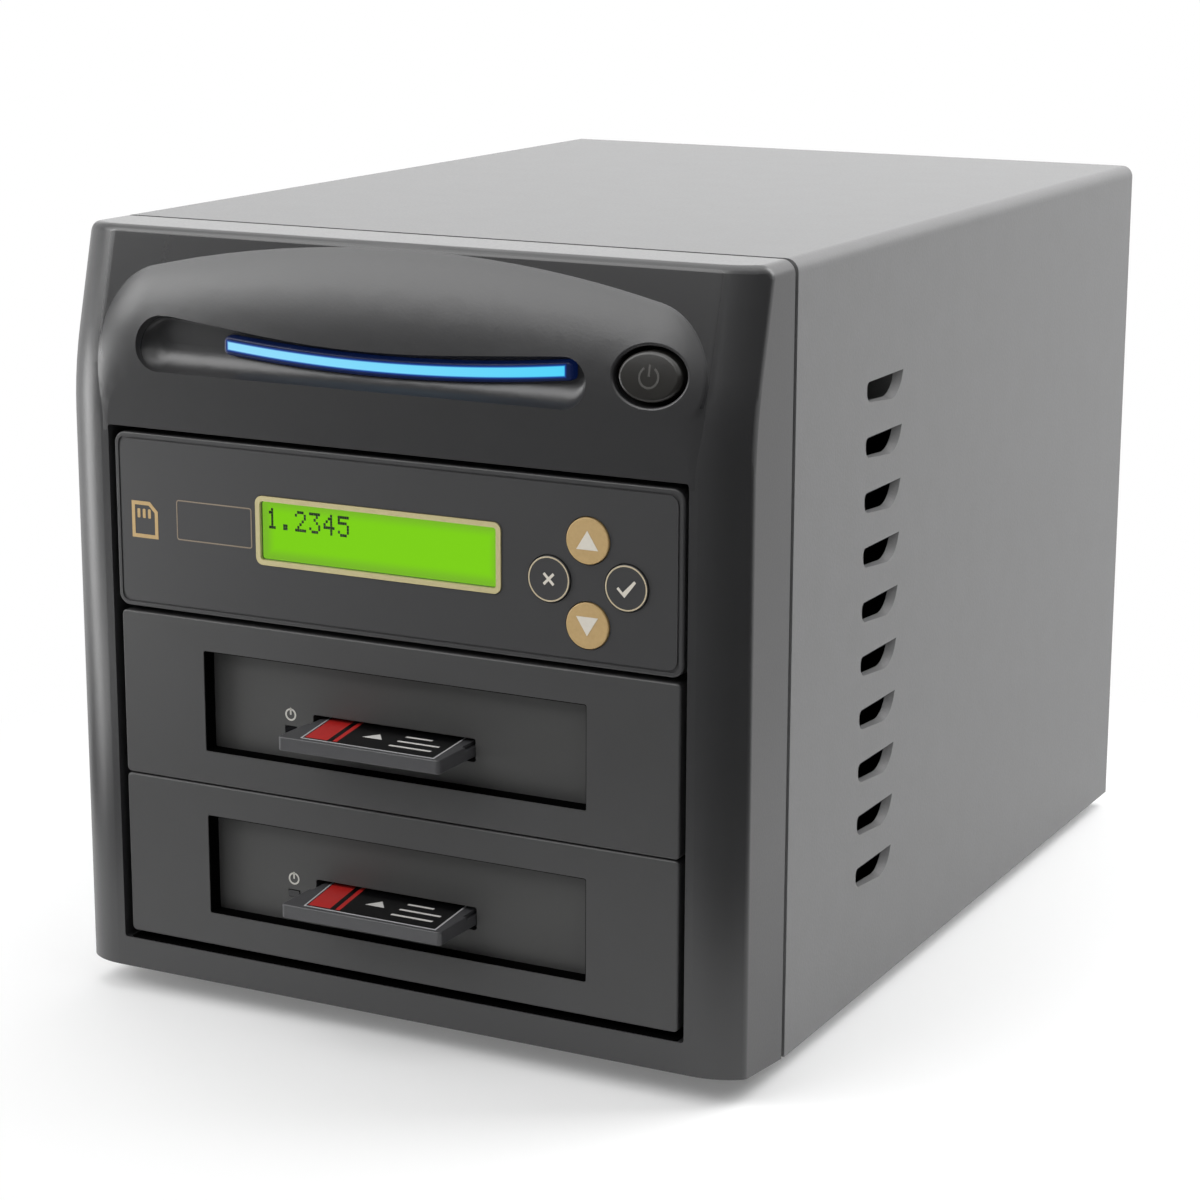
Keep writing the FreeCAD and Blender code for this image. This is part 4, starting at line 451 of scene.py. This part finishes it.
off = addNode(tree, "ShaderNodeMath", links={0: off.outputs[0], 1: half.outputs[0]}, operation="SUBTRACT")
past = addNode(tree, "ShaderNodeMath", {1: barMiddle * mm}, {0: ends.outputs["X"]}, operation="SUBTRACT")
past = addNode(tree, "ShaderNodeMath", links={0: past.outputs[0]}, operation="ABSOLUTE")
past = addNode(tree, "ShaderNodeMath", {1: barHalf * mm}, {0: past.outputs[0]}, operation="SUBTRACT")
outside = addNode(tree, "ShaderNodeMath", links={0: off.outputs[0], 1: past.outputs[0]}, operation="MAXIMUM")
across = addNode(tree, "ShaderNodeMapRange", {1: barLook["from"] * mm, 2: barLook["to"] * mm},
                 {0: ends.outputs["X"]})
core = addNode(tree, "ShaderNodeMix", {6: linear(barLook["coreLeft"]), 7: linear(barLook["coreRight"])},
               {0: across.outputs[0]}, data_type="RGBA")
deep = addNode(tree, "ShaderNodeMapRange", {1: 0.0, 2: barLook["deep"] * mm}, {0: outside.outputs[0]})
rim = addNode(tree, "ShaderNodeMix", {6: linear(barLook["rim"]), 7: linear(barLook["edge"])},
              {0: deep.outputs[0]}, data_type="RGBA")
fade = addNode(tree, "ShaderNodeMapRange", {1: 0.0, 2: barLook["fade"] * mm}, {0: outside.outputs[0]})
glow = addNode(tree, "ShaderNodeMix", links={0: fade.outputs[0], 6: core.outputs[2], 7: rim.outputs[2]},
               data_type="RGBA")
shader.inputs["Base Color"].default_value = linear(barLook["edge"])
tree.links.new(glow.outputs[2], shader.inputs["Emission Color"])
shader.inputs["Emission Strength"].default_value = barLook["strength"]
wear(material, "light_bar")

# back-lit liquid crystal: even yellow-green light, a little darker towards the rim, on a pressed steel frame
lcdLook = {"middle": "#83d51f", "rim": "#7dbb30", "frame": "#7d7f80", "unlit": "#0c1402", "strength": 1.0,
           "rough": 0.35, "ior": 1.52, "sheen": 0.1, "skin": 0.05, "fall": 3.0}
material, tree, shader, place = newMaterial("backlitCrystal", lcdLook["rough"], ior=lcdLook["ior"],
                                            sheen=lcdLook["sheen"])
paneLow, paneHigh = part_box("display_window")
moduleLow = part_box("display_module")[0]
ends = addNode(tree, "ShaderNodeSeparateXYZ", links={0: place})
lit = addNode(tree, "ShaderNodeMath", {1: moduleLow.y + lcdLook["skin"] * mm}, {0: ends.outputs["Y"]},
              operation="LESS_THAN")
edges = []
for axis, low, high in (("X", paneLow.x, paneHigh.x), ("Z", paneLow.z, paneHigh.z)):
    near = addNode(tree, "ShaderNodeMath", {1: (low + high) / 2}, {0: ends.outputs[axis]}, operation="SUBTRACT")
    near = addNode(tree, "ShaderNodeMath", links={0: near.outputs[0]}, operation="ABSOLUTE")
    near = addNode(tree, "ShaderNodeMapRange",
                   {1: (high - low) / 2 - lcdLook["fall"] * mm, 2: (high - low) / 2},
                   {0: near.outputs[0]}, interpolation_type="SMOOTHSTEP")
    edges.append(near.outputs[0])
rim = addNode(tree, "ShaderNodeMath", links={0: edges[0], 1: edges[1]}, operation="MAXIMUM")
glow = addNode(tree, "ShaderNodeMix", {6: linear(lcdLook["middle"]), 7: linear(lcdLook["rim"])},
               {0: rim.outputs[0]}, data_type="RGBA")
tree.links.new(glow.outputs[2], shader.inputs["Emission Color"])
power = addNode(tree, "ShaderNodeMath", {1: lcdLook["strength"]}, {0: lit.outputs[0]}, operation="MULTIPLY")
tree.links.new(power.outputs[0], shader.inputs["Emission Strength"])
skin = addNode(tree, "ShaderNodeMix", {6: linear(lcdLook["frame"]), 7: linear(lcdLook["unlit"])},
               {0: lit.outputs[0]}, data_type="RGBA")
tree.links.new(skin.outputs[2], shader.inputs["Base Color"])
wear(material, "display_module")

# clear acrylic pane: a faint, uneven haze over the display
paneLook = {"colour": "#f6faf2", "rough": 0.03, "hazy": 0.07, "patch": 6.0, "ior": 1.49, "sheen": 0.2}
material, tree, shader, place = newMaterial("clearAcrylic", paneLook["rough"], ior=paneLook["ior"],
                                            sheen=paneLook["sheen"])
shader.inputs["Base Color"].default_value = linear(paneLook["colour"])
shader.inputs["Transmission Weight"].default_value = 1.0
haze = addNode(tree, "ShaderNodeTexNoise", {"Scale": 1 / (paneLook["patch"] * mm)}, {"Vector": place})
haze = addNode(tree, "ShaderNodeMapRange", {3: paneLook["rough"], 4: paneLook["hazy"]}, {0: haze.outputs[0]})
tree.links.new(haze.outputs[0], shader.inputs["Roughness"])
wear(material, "display_window")

# plain figures in a 5 by 7 dot matrix, top left of the display
figures = {"text": "1.2345", "dotWide": 0.57, "dotTall": 0.67, "dotRound": 0.05, "pitchWide": 0.6,
           "pitchTall": 0.7, "cell": 3.85, "left": -33.0, "top": 124.9, "lift": 0.05}
dotRows = {"1": "00100 01100 00100 00100 00100 00100 01110", "2": "01110 10001 00001 00010 00100 01000 11111",
           "3": "11111 00010 00100 00010 00001 10001 01110", "4": "00010 00110 01010 10010 11111 00010 00010",
           "5": "11111 10000 11110 00001 00001 10001 01110", ".": "00000 00000 00000 00000 00000 01100 01100"}
# dark crystal: the dots stop the light from behind
crystalLook = {"colour": "#0d2206", "fleck": "#122a0a", "patch": 1.0, "rough": 0.5, "spread": 0.02, "grit": 0.3,
               "bump": 0.0}
darkCrystal = grained("darkCrystalDots", crystalLook)
dots = []
for cell, figure in enumerate(figures["text"]):
    for row, line in enumerate(dotRows[figure].split()):
        for column, mark in enumerate(line):
            if mark == "1":
                x = figures["left"] + cell * figures["cell"] + column * figures["pitchWide"]
                z = figures["top"] - row * figures["pitchTall"]
                dots.append((roundBox(x, z, figures["dotWide"], figures["dotTall"], figures["dotRound"], 1), None))
inlay("display_figures", dots, onFront(moduleLow.y), figures["lift"], darkCrystal, "case")

print("stage 5: inks on the display panel and keys")
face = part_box("display_faceplate")[0].y
ink = {"thick": 0.05, "ringInner": 4.8, "ringOuter": 5.12}
keyCentres = {}
for name in ("key_up", "key_down", "key_escape", "key_confirm"):
    low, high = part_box(name)
    keyCentres[name] = ((low.x + high.x) / 2 / mm, (low.z + high.z) / 2 / mm, low.y)

triangle = {"wide": 5.4, "tall": 4.3, "lift": 0.15}
for name, sign in (("key_up", 1), ("key_down", -1)):
    x, z, y = keyCentres[name]
    z = z + sign * triangle["lift"]
    foot, tip = z - sign * triangle["tall"] / 2, z + sign * triangle["tall"] / 2
    loop = [(x - triangle["wide"] / 2, foot), (x + triangle["wide"] / 2, foot), (x, tip)]
    inlay(name + "_mark", [(loop, None)], onFront(y), ink["thick"], keyInk, name)
for name in ("key_escape", "key_confirm"):
    x, z, y = keyCentres[name]
    inlay(name + "_ring", [(circle(x, z, ink["ringOuter"]), circle(x, z, ink["ringInner"]))], onFront(y),
          ink["thick"], ringInk, name)

cross = {"reach": 1.75, "wide": 0.62, "tilt": 45}
x, z, y = keyCentres["key_escape"]
crossLoop = plusLoop(x, z, cross["reach"], cross["wide"] / 2, math.radians(cross["tilt"]))
inlay("key_escape_mark", [(crossLoop, None)], onFront(y), ink["thick"], keyInk, "key_escape")
tick = {"points": ((-2.1, -0.1), (-0.6, -1.6), (2.2, 1.6)), "wide": 0.62}
x, z, y = keyCentres["key_confirm"]
tickLoop = stroke([(x + px, z + pz) for px, pz in tick["points"]], tick["wide"])
inlay("key_confirm_mark", [(tickLoop, None)], onFront(y), ink["thick"], keyInk, "key_confirm")

# bare outlined plate beside the window, and a plain card pictogram in the corner
plate = {"x": -46.9, "z": 120.2, "wide": 21.0, "tall": 9.6, "round": 0.7, "line": 0.28}
outer = roundBox(plate["x"], plate["z"], plate["wide"], plate["tall"], plate["round"])
inner = roundBox(plate["x"], plate["z"], plate["wide"] - 2 * plate["line"], plate["tall"] - 2 * plate["line"],
                 plate["round"] - plate["line"])
inlay("panel_plate_outline", [(outer, inner)], onFront(face), ink["thick"], bronzeInk, "case")
cardSign = {"x": -66.4, "z": 119.3, "wide": 7.4, "tall": 8.8, "cut": 2.2, "line": 0.9, "cutLine": 0.36,
            "bars": 3, "barLeft": -1.7, "barPitch": 1.5, "barRise": 1.5, "barWide": 0.8, "barTall": 2.2,
            "barRound": 0.2}
loops = []
for line, corner in ((0, 0), (cardSign["line"], cardSign["cutLine"])):
    wide, tall, cut = cardSign["wide"] / 2, cardSign["tall"] / 2, cardSign["cut"] + corner
    points = ((line - wide, line - tall), (wide - line, line - tall), (wide - line, tall - cut),
              (wide - cut, tall - line), (line - wide, tall - line))
    loops.append([(cardSign["x"] + px, cardSign["z"] + pz) for px, pz in points])
shapes = [tuple(loops)]
for i in range(cardSign["bars"]):
    x = cardSign["x"] + cardSign["barLeft"] + cardSign["barPitch"] * i
    z = cardSign["z"] + cardSign["barRise"]
    shapes.append((roundBox(x, z, cardSign["barWide"], cardSign["barTall"], cardSign["barRound"], 2), None))
inlay("panel_card_sign", shapes, onFront(face), ink["thick"], gold, "case")

print("stage 6: readers and cards")
# shade lining: four thin black walls that line the recess, painted shade where the recess lies in shadow; lamp
# sign: a ring with a short stroke
shadeLining = {"wide": 101.8, "tall": 24.6, "wall": 0.25, "front": 0.25, "slack": 0.02, "round": 0.5,
          "roundInner": 0.4}
lampSign = {"rise": 3.7, "outer": 1.5, "inner": 1.1, "steps": 28, "stroke": 0.42, "strokeTall": 1.7,
            "strokeRise": 0.8, "strokeRound": 0.1}
for name in ("lower", "upper"):
    low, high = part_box(f"reader_face_{name}")
    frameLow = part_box(f"bay_frame_{name}")[0]
    lampLow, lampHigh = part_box(f"status_lamp_{name}")
    z = (low.z + high.z) / 2 / mm
    depth = (low.y - frameLow.y) / mm - shadeLining["front"]
    outer = roundBox(0, z, shadeLining["wide"] - shadeLining["slack"], shadeLining["tall"] - shadeLining["slack"], shadeLining["round"], 3)
    inner = roundBox(0, z, shadeLining["wide"] - 2 * shadeLining["wall"], shadeLining["tall"] - 2 * shadeLining["wall"],
                     shadeLining["roundInner"], 3)
    # painted shade: black foam walls inside the recess
    inlay(f"recess_shade_lining_{name}", [(outer, inner)], onFront(low.y), depth, shadeFoam, "case", sink=0.0)
    x, z = (lampLow.x + lampHigh.x) / 2 / mm, (lampLow.z + lampHigh.z) / 2 / mm + lampSign["rise"]
    rings = (circle(x, z, lampSign["outer"], lampSign["steps"]), circle(x, z, lampSign["inner"], lampSign["steps"]))
    bar = roundBox(x, z + lampSign["strokeRise"], lampSign["stroke"], lampSign["strokeTall"],
                   lampSign["strokeRound"], 2)
    inlay(f"lamp_sign_{name}", [rings, (bar, None)], onFront(low.y), ink["thick"], greyInk, "case")

# black foam strip along the sill of the opening, under the lower panel: painted shade for the gap under the panel
sillShade = {"half": 74.0, "from": -125.2, "to": -115.2, "sill": 14.3, "thick": 0.35, "round": 0.4}
strip = roundBox(0, (sillShade["from"] + sillShade["to"]) / 2, 2 * sillShade["half"], sillShade["to"] - sillShade["from"], sillShade["round"], 2)
# painted shade: a black strip where the gap under the panel lies in shadow
inlay("sill_shade_strip", [(strip, None)], onTop(sillShade["sill"] * mm), sillShade["thick"], shadeFoam, "case")

# card ABS: a dark moulded frame; label films: gloss black, a silver edge line and flat red stripes
cardLook = {"colour": "#454547", "fleck": "#4b4b4d", "patch": 3.0, "rough": 0.42, "spread": 0.05, "grit": 0.4,
            "bump": 0.08}
wear(grained("mouldedCardAbs", cardLook), "memory_card_lower", "memory_card_upper")
labelLook = {"colour": "#070708", "fleck": "#0a0a0b", "patch": 6.0, "rough": 0.35, "spread": 0.03, "grit": 0.5,
             "bump": 0.02, "sheen": 0.25}
labelBlack = grained("glossBlackLabel", labelLook)
redLook = {"colour": "#c22423", "fleck": "#cc2f2a", "patch": 3.0, "rough": 0.35, "spread": 0.03, "grit": 0.4,
           "bump": 0.02}
labelRed = grained("redLabelInk", redLook)
borderLook = {"colour": "#bbbbbd", "fleck": "#c6c6c8", "patch": 2.0, "rough": 0.4, "spread": 0.03, "grit": 0.3,
              "bump": 0.02}
labelBorder = grained("silverLabelEdge", borderLook)
# points of the print in mm from the card's front left corner; a dash is x, y and width
label = {"edge": [(5.4, 1.3), (41.0, 1.0), (39.0, 20.0), (2.2, 20.0)], "line": 0.45, "thick": 0.06, "ink": 0.02,
         "red": [[(6.0, 2.3), (12.0, 2.3), (9.1, 19.2), (3.1, 19.2)],
                 [(13.4, 2.3), (14.6, 2.3), (11.7, 19.2), (10.5, 19.2)]],
         "arrow": [(17.6, 8.6), (22.8, 8.6), (20.2, 12.2)],
         "dashes": [(32.0, 5.6, 11.0), (32.0, 9.4, 11.0), (30.0, 13.2, 7.0)], "dashTall": 0.9, "dashRound": 0.2}
inner = inset(label["edge"], label["line"])
prints = [(label["arrow"], None)]
for x, y, wide in label["dashes"]:
    prints.append((roundBox(x, y, wide, label["dashTall"], label["dashRound"], 2), None))
for name in ("lower", "upper"):
    body = f"memory_card_{name}"
    low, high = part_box(body)
    flat = onTop(high.z, low.x, low.y)
    raised = onTop(high.z + label["thick"] * mm, low.x, low.y)
    inlay(f"card_label_{name}", [(inner, None)], flat, label["thick"], labelBlack, body)
    inlay(f"card_border_{name}", [(label["edge"], inner)], flat, label["thick"], labelBorder, body)
    inlay(f"card_red_{name}", [(loop, None) for loop in label["red"]], raised, label["ink"], labelRed, body)
    inlay(f"card_print_{name}", prints, raised, label["ink"], whiteInk, body)

print("stage 7: power sign and screws")
# grey button ink: an open ring and a bar, just lighter than the moulding; angles in degrees
signLook = dict(buttonLook, colour="#3f3e3b", fleck="#444340", rough=0.5)
powerSign = {"z": 163.6, "outer": 2.5, "inner": 2.0, "gap": 34, "steps": 28, "stroke": 0.5, "barFrom": 0.2,
             "barTo": 2.7, "thick": 0.04, "castFrom": -0.2}
low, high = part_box("power_button")
x, z = (low.x + high.x) / 2 / mm, powerSign["z"]
turns = [math.radians(90 + powerSign["gap"] + (360 - 2 * powerSign["gap"]) * i / powerSign["steps"])
         for i in range(powerSign["steps"] + 1)]
arc = [(x + powerSign["outer"] * math.cos(turn), z + powerSign["outer"] * math.sin(turn)) for turn in turns]
arc += [(x + powerSign["inner"] * math.cos(turn), z + powerSign["inner"] * math.sin(turn)) for turn in turns[::-1]]
left, right = x - powerSign["stroke"] / 2, x + powerSign["stroke"] / 2
foot, tip = z + powerSign["barFrom"], z + powerSign["barTo"]
bar = [(left, foot), (right, foot), (right, tip), (left, tip)]
powerInk = inlay("power_sign", [(arc, None), (bar, None)], onFront(0), powerSign["thick"],
                 grained("greyButtonInk", signLook), "power_button")
for vertex in powerInk.data.vertices:  # laid on the domed face
    start = (vertex.co.x, powerSign["castFrom"], vertex.co.z)
    vertex.co.y += nodes["power_button"].ray_cast(start, (0, 1, 0))[1].y

# black oxide steel: pan-head screws, dark with a dull metal gleam, turned as they came to rest
oxideLook = {"colour": "#2b2b2d", "fleck": "#363638", "patch": 1.5, "rough": 0.4, "spread": 0.08, "grit": 0.3,
             "bump": 0.08, "metal": 1.0}
blackOxide = grained("blackOxideSteel", oxideLook)
# the crown is (radius, height) from the seat to the top of the head; twist in degrees from screw to screw
screw = {"crown": [(2.7, 0), (2.8, 0.1), (2.8, 0.7), (2.68, 1.05), (2.35, 1.42), (1.8, 1.7), (1.0, 1.86), (0, 1.9)],
         "tall": 1.9, "shank": 1.45, "tip": 1.25, "tipTall": 0.25, "arm": 1.55, "armWide": 0.85, "armDeep": 1.1,
         "taper": 0.7, "over": 0.3, "turns": 40, "twist": 23}
screwSets = {
    "cover_screws": {"seat": 134.45, "reach": 2.0, "places": [(-83.7, 36.1), (83.7, 36.1), (-83.7, 146.1),
                                                             (83.7, 146.1), (-44.35, 182.5), (44.35, 182.5)]},
    "fan_screws": {"seat": 135.05, "reach": 2.6, "places": [(-35.75, 42.35), (35.75, 42.35), (-35.75, 113.85),
                                                           (35.75, 113.85)]},
}


def turned(build, profile, turns):
    # lathe work about +Y: the profile is (radius, y) from one end of the axis to the other
    rings = []
    for radius, y in profile:
        if radius == 0:
            rings.append([build.verts.new((0, y, 0))])
        else:
            rings.append([build.verts.new((radius * math.sin(2 * math.pi * i / turns), y,
                                           radius * math.cos(2 * math.pi * i / turns))) for i in range(turns)])
    for near, far in zip(rings, rings[1:]):
        for i in range(turns):
            j = (i + 1) % turns
            corners = [near[i % len(near)], near[j % len(near)], far[j % len(far)], far[i % len(far)]]
            build.faces.new(list(dict.fromkeys(corners)))
    bmesh.ops.recalc_face_normals(build, faces=build.faces)


def cutScrew(reach):
    # a turned blank with a tapered cross cut into its head, in mm
    build = bmesh.new()
    turned(build, [(0, -reach), (screw["tip"], -reach), (screw["shank"], screw["tipTall"] - reach),
                   (screw["shank"], 0)] + screw["crown"], screw["turns"])
    blank = newObject("screwBlank", build)
    build = bmesh.new()
    loop = plusLoop(0, 0, screw["arm"], screw["armWide"] / 2)
    deep = [build.verts.new((px * screw["taper"], screw["tall"] - screw["armDeep"], pz * screw["taper"]))
            for px, pz in loop]
    wide = [build.verts.new((px, screw["tall"] + screw["over"], pz)) for px, pz in loop]
    build.faces.new(deep)
    build.faces.new(wide[::-1])
    for i in range(len(loop)):
        j = (i + 1) % len(loop)
        build.faces.new((deep[j], deep[i], wide[i], wide[j]))
    bmesh.ops.recalc_face_normals(build, faces=build.faces)
    bit = newObject("screwBit", build)
    cut = blank.modifiers.new("recess", "BOOLEAN")
    cut.operation, cut.solver, cut.object = "DIFFERENCE", "EXACT", bit
    shape = bpy.data.meshes.new_from_object(blank.evaluated_get(bpy.context.evaluated_depsgraph_get()))
    for piece in (blank, bit):
        bpy.data.objects.remove(piece)
    return shape


for name, group in screwSets.items():
    shape = cutScrew(group["reach"])
    build = bmesh.new()
    for i, (x, z) in enumerate(group["places"]):
        count = len(build.verts)
        build.from_mesh(shape)
        build.verts.ensure_lookup_table()
        place = (Matrix.Translation(Vector((x, group["seat"], z)) * mm)
                 @ Matrix.Rotation(math.radians(screw["twist"] * i), 4, "Y") @ Matrix.Scale(mm, 4))
        bmesh.ops.transform(build, matrix=place, verts=build.verts[count:])
    piece = makePiece(name + "_cut", build, blackOxide, "case")
    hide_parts(name)

print("stage 8: boards")
# glass-epoxy board: green solder mask in two close tones, paler over the copper tracks
boardLook = {"mask": "#1d5a34", "shade": "#1a5230", "track": "#2c7a49", "trackPitch": 3.0, "trackWide": 0.08,
             "rough": 0.4}
material, tree, shader, place = newMaterial("glassEpoxyBoard", boardLook["rough"])
tracks = addNode(tree, "ShaderNodeTexBrick",
                 {"Scale": 1 / (boardLook["trackPitch"] * mm), "Mortar Size": boardLook["trackWide"],
                  "Color1": linear(boardLook["mask"]), "Color2": linear(boardLook["shade"]),
                  "Mortar": linear(boardLook["track"])}, {"Vector": place})
tree.links.new(tracks.outputs["Color"], shader.inputs["Base Color"])
wear(material, "front_board", "keypad_board", "supply_board", "controller_board", "reader_board_lower",
     "reader_board_upper")
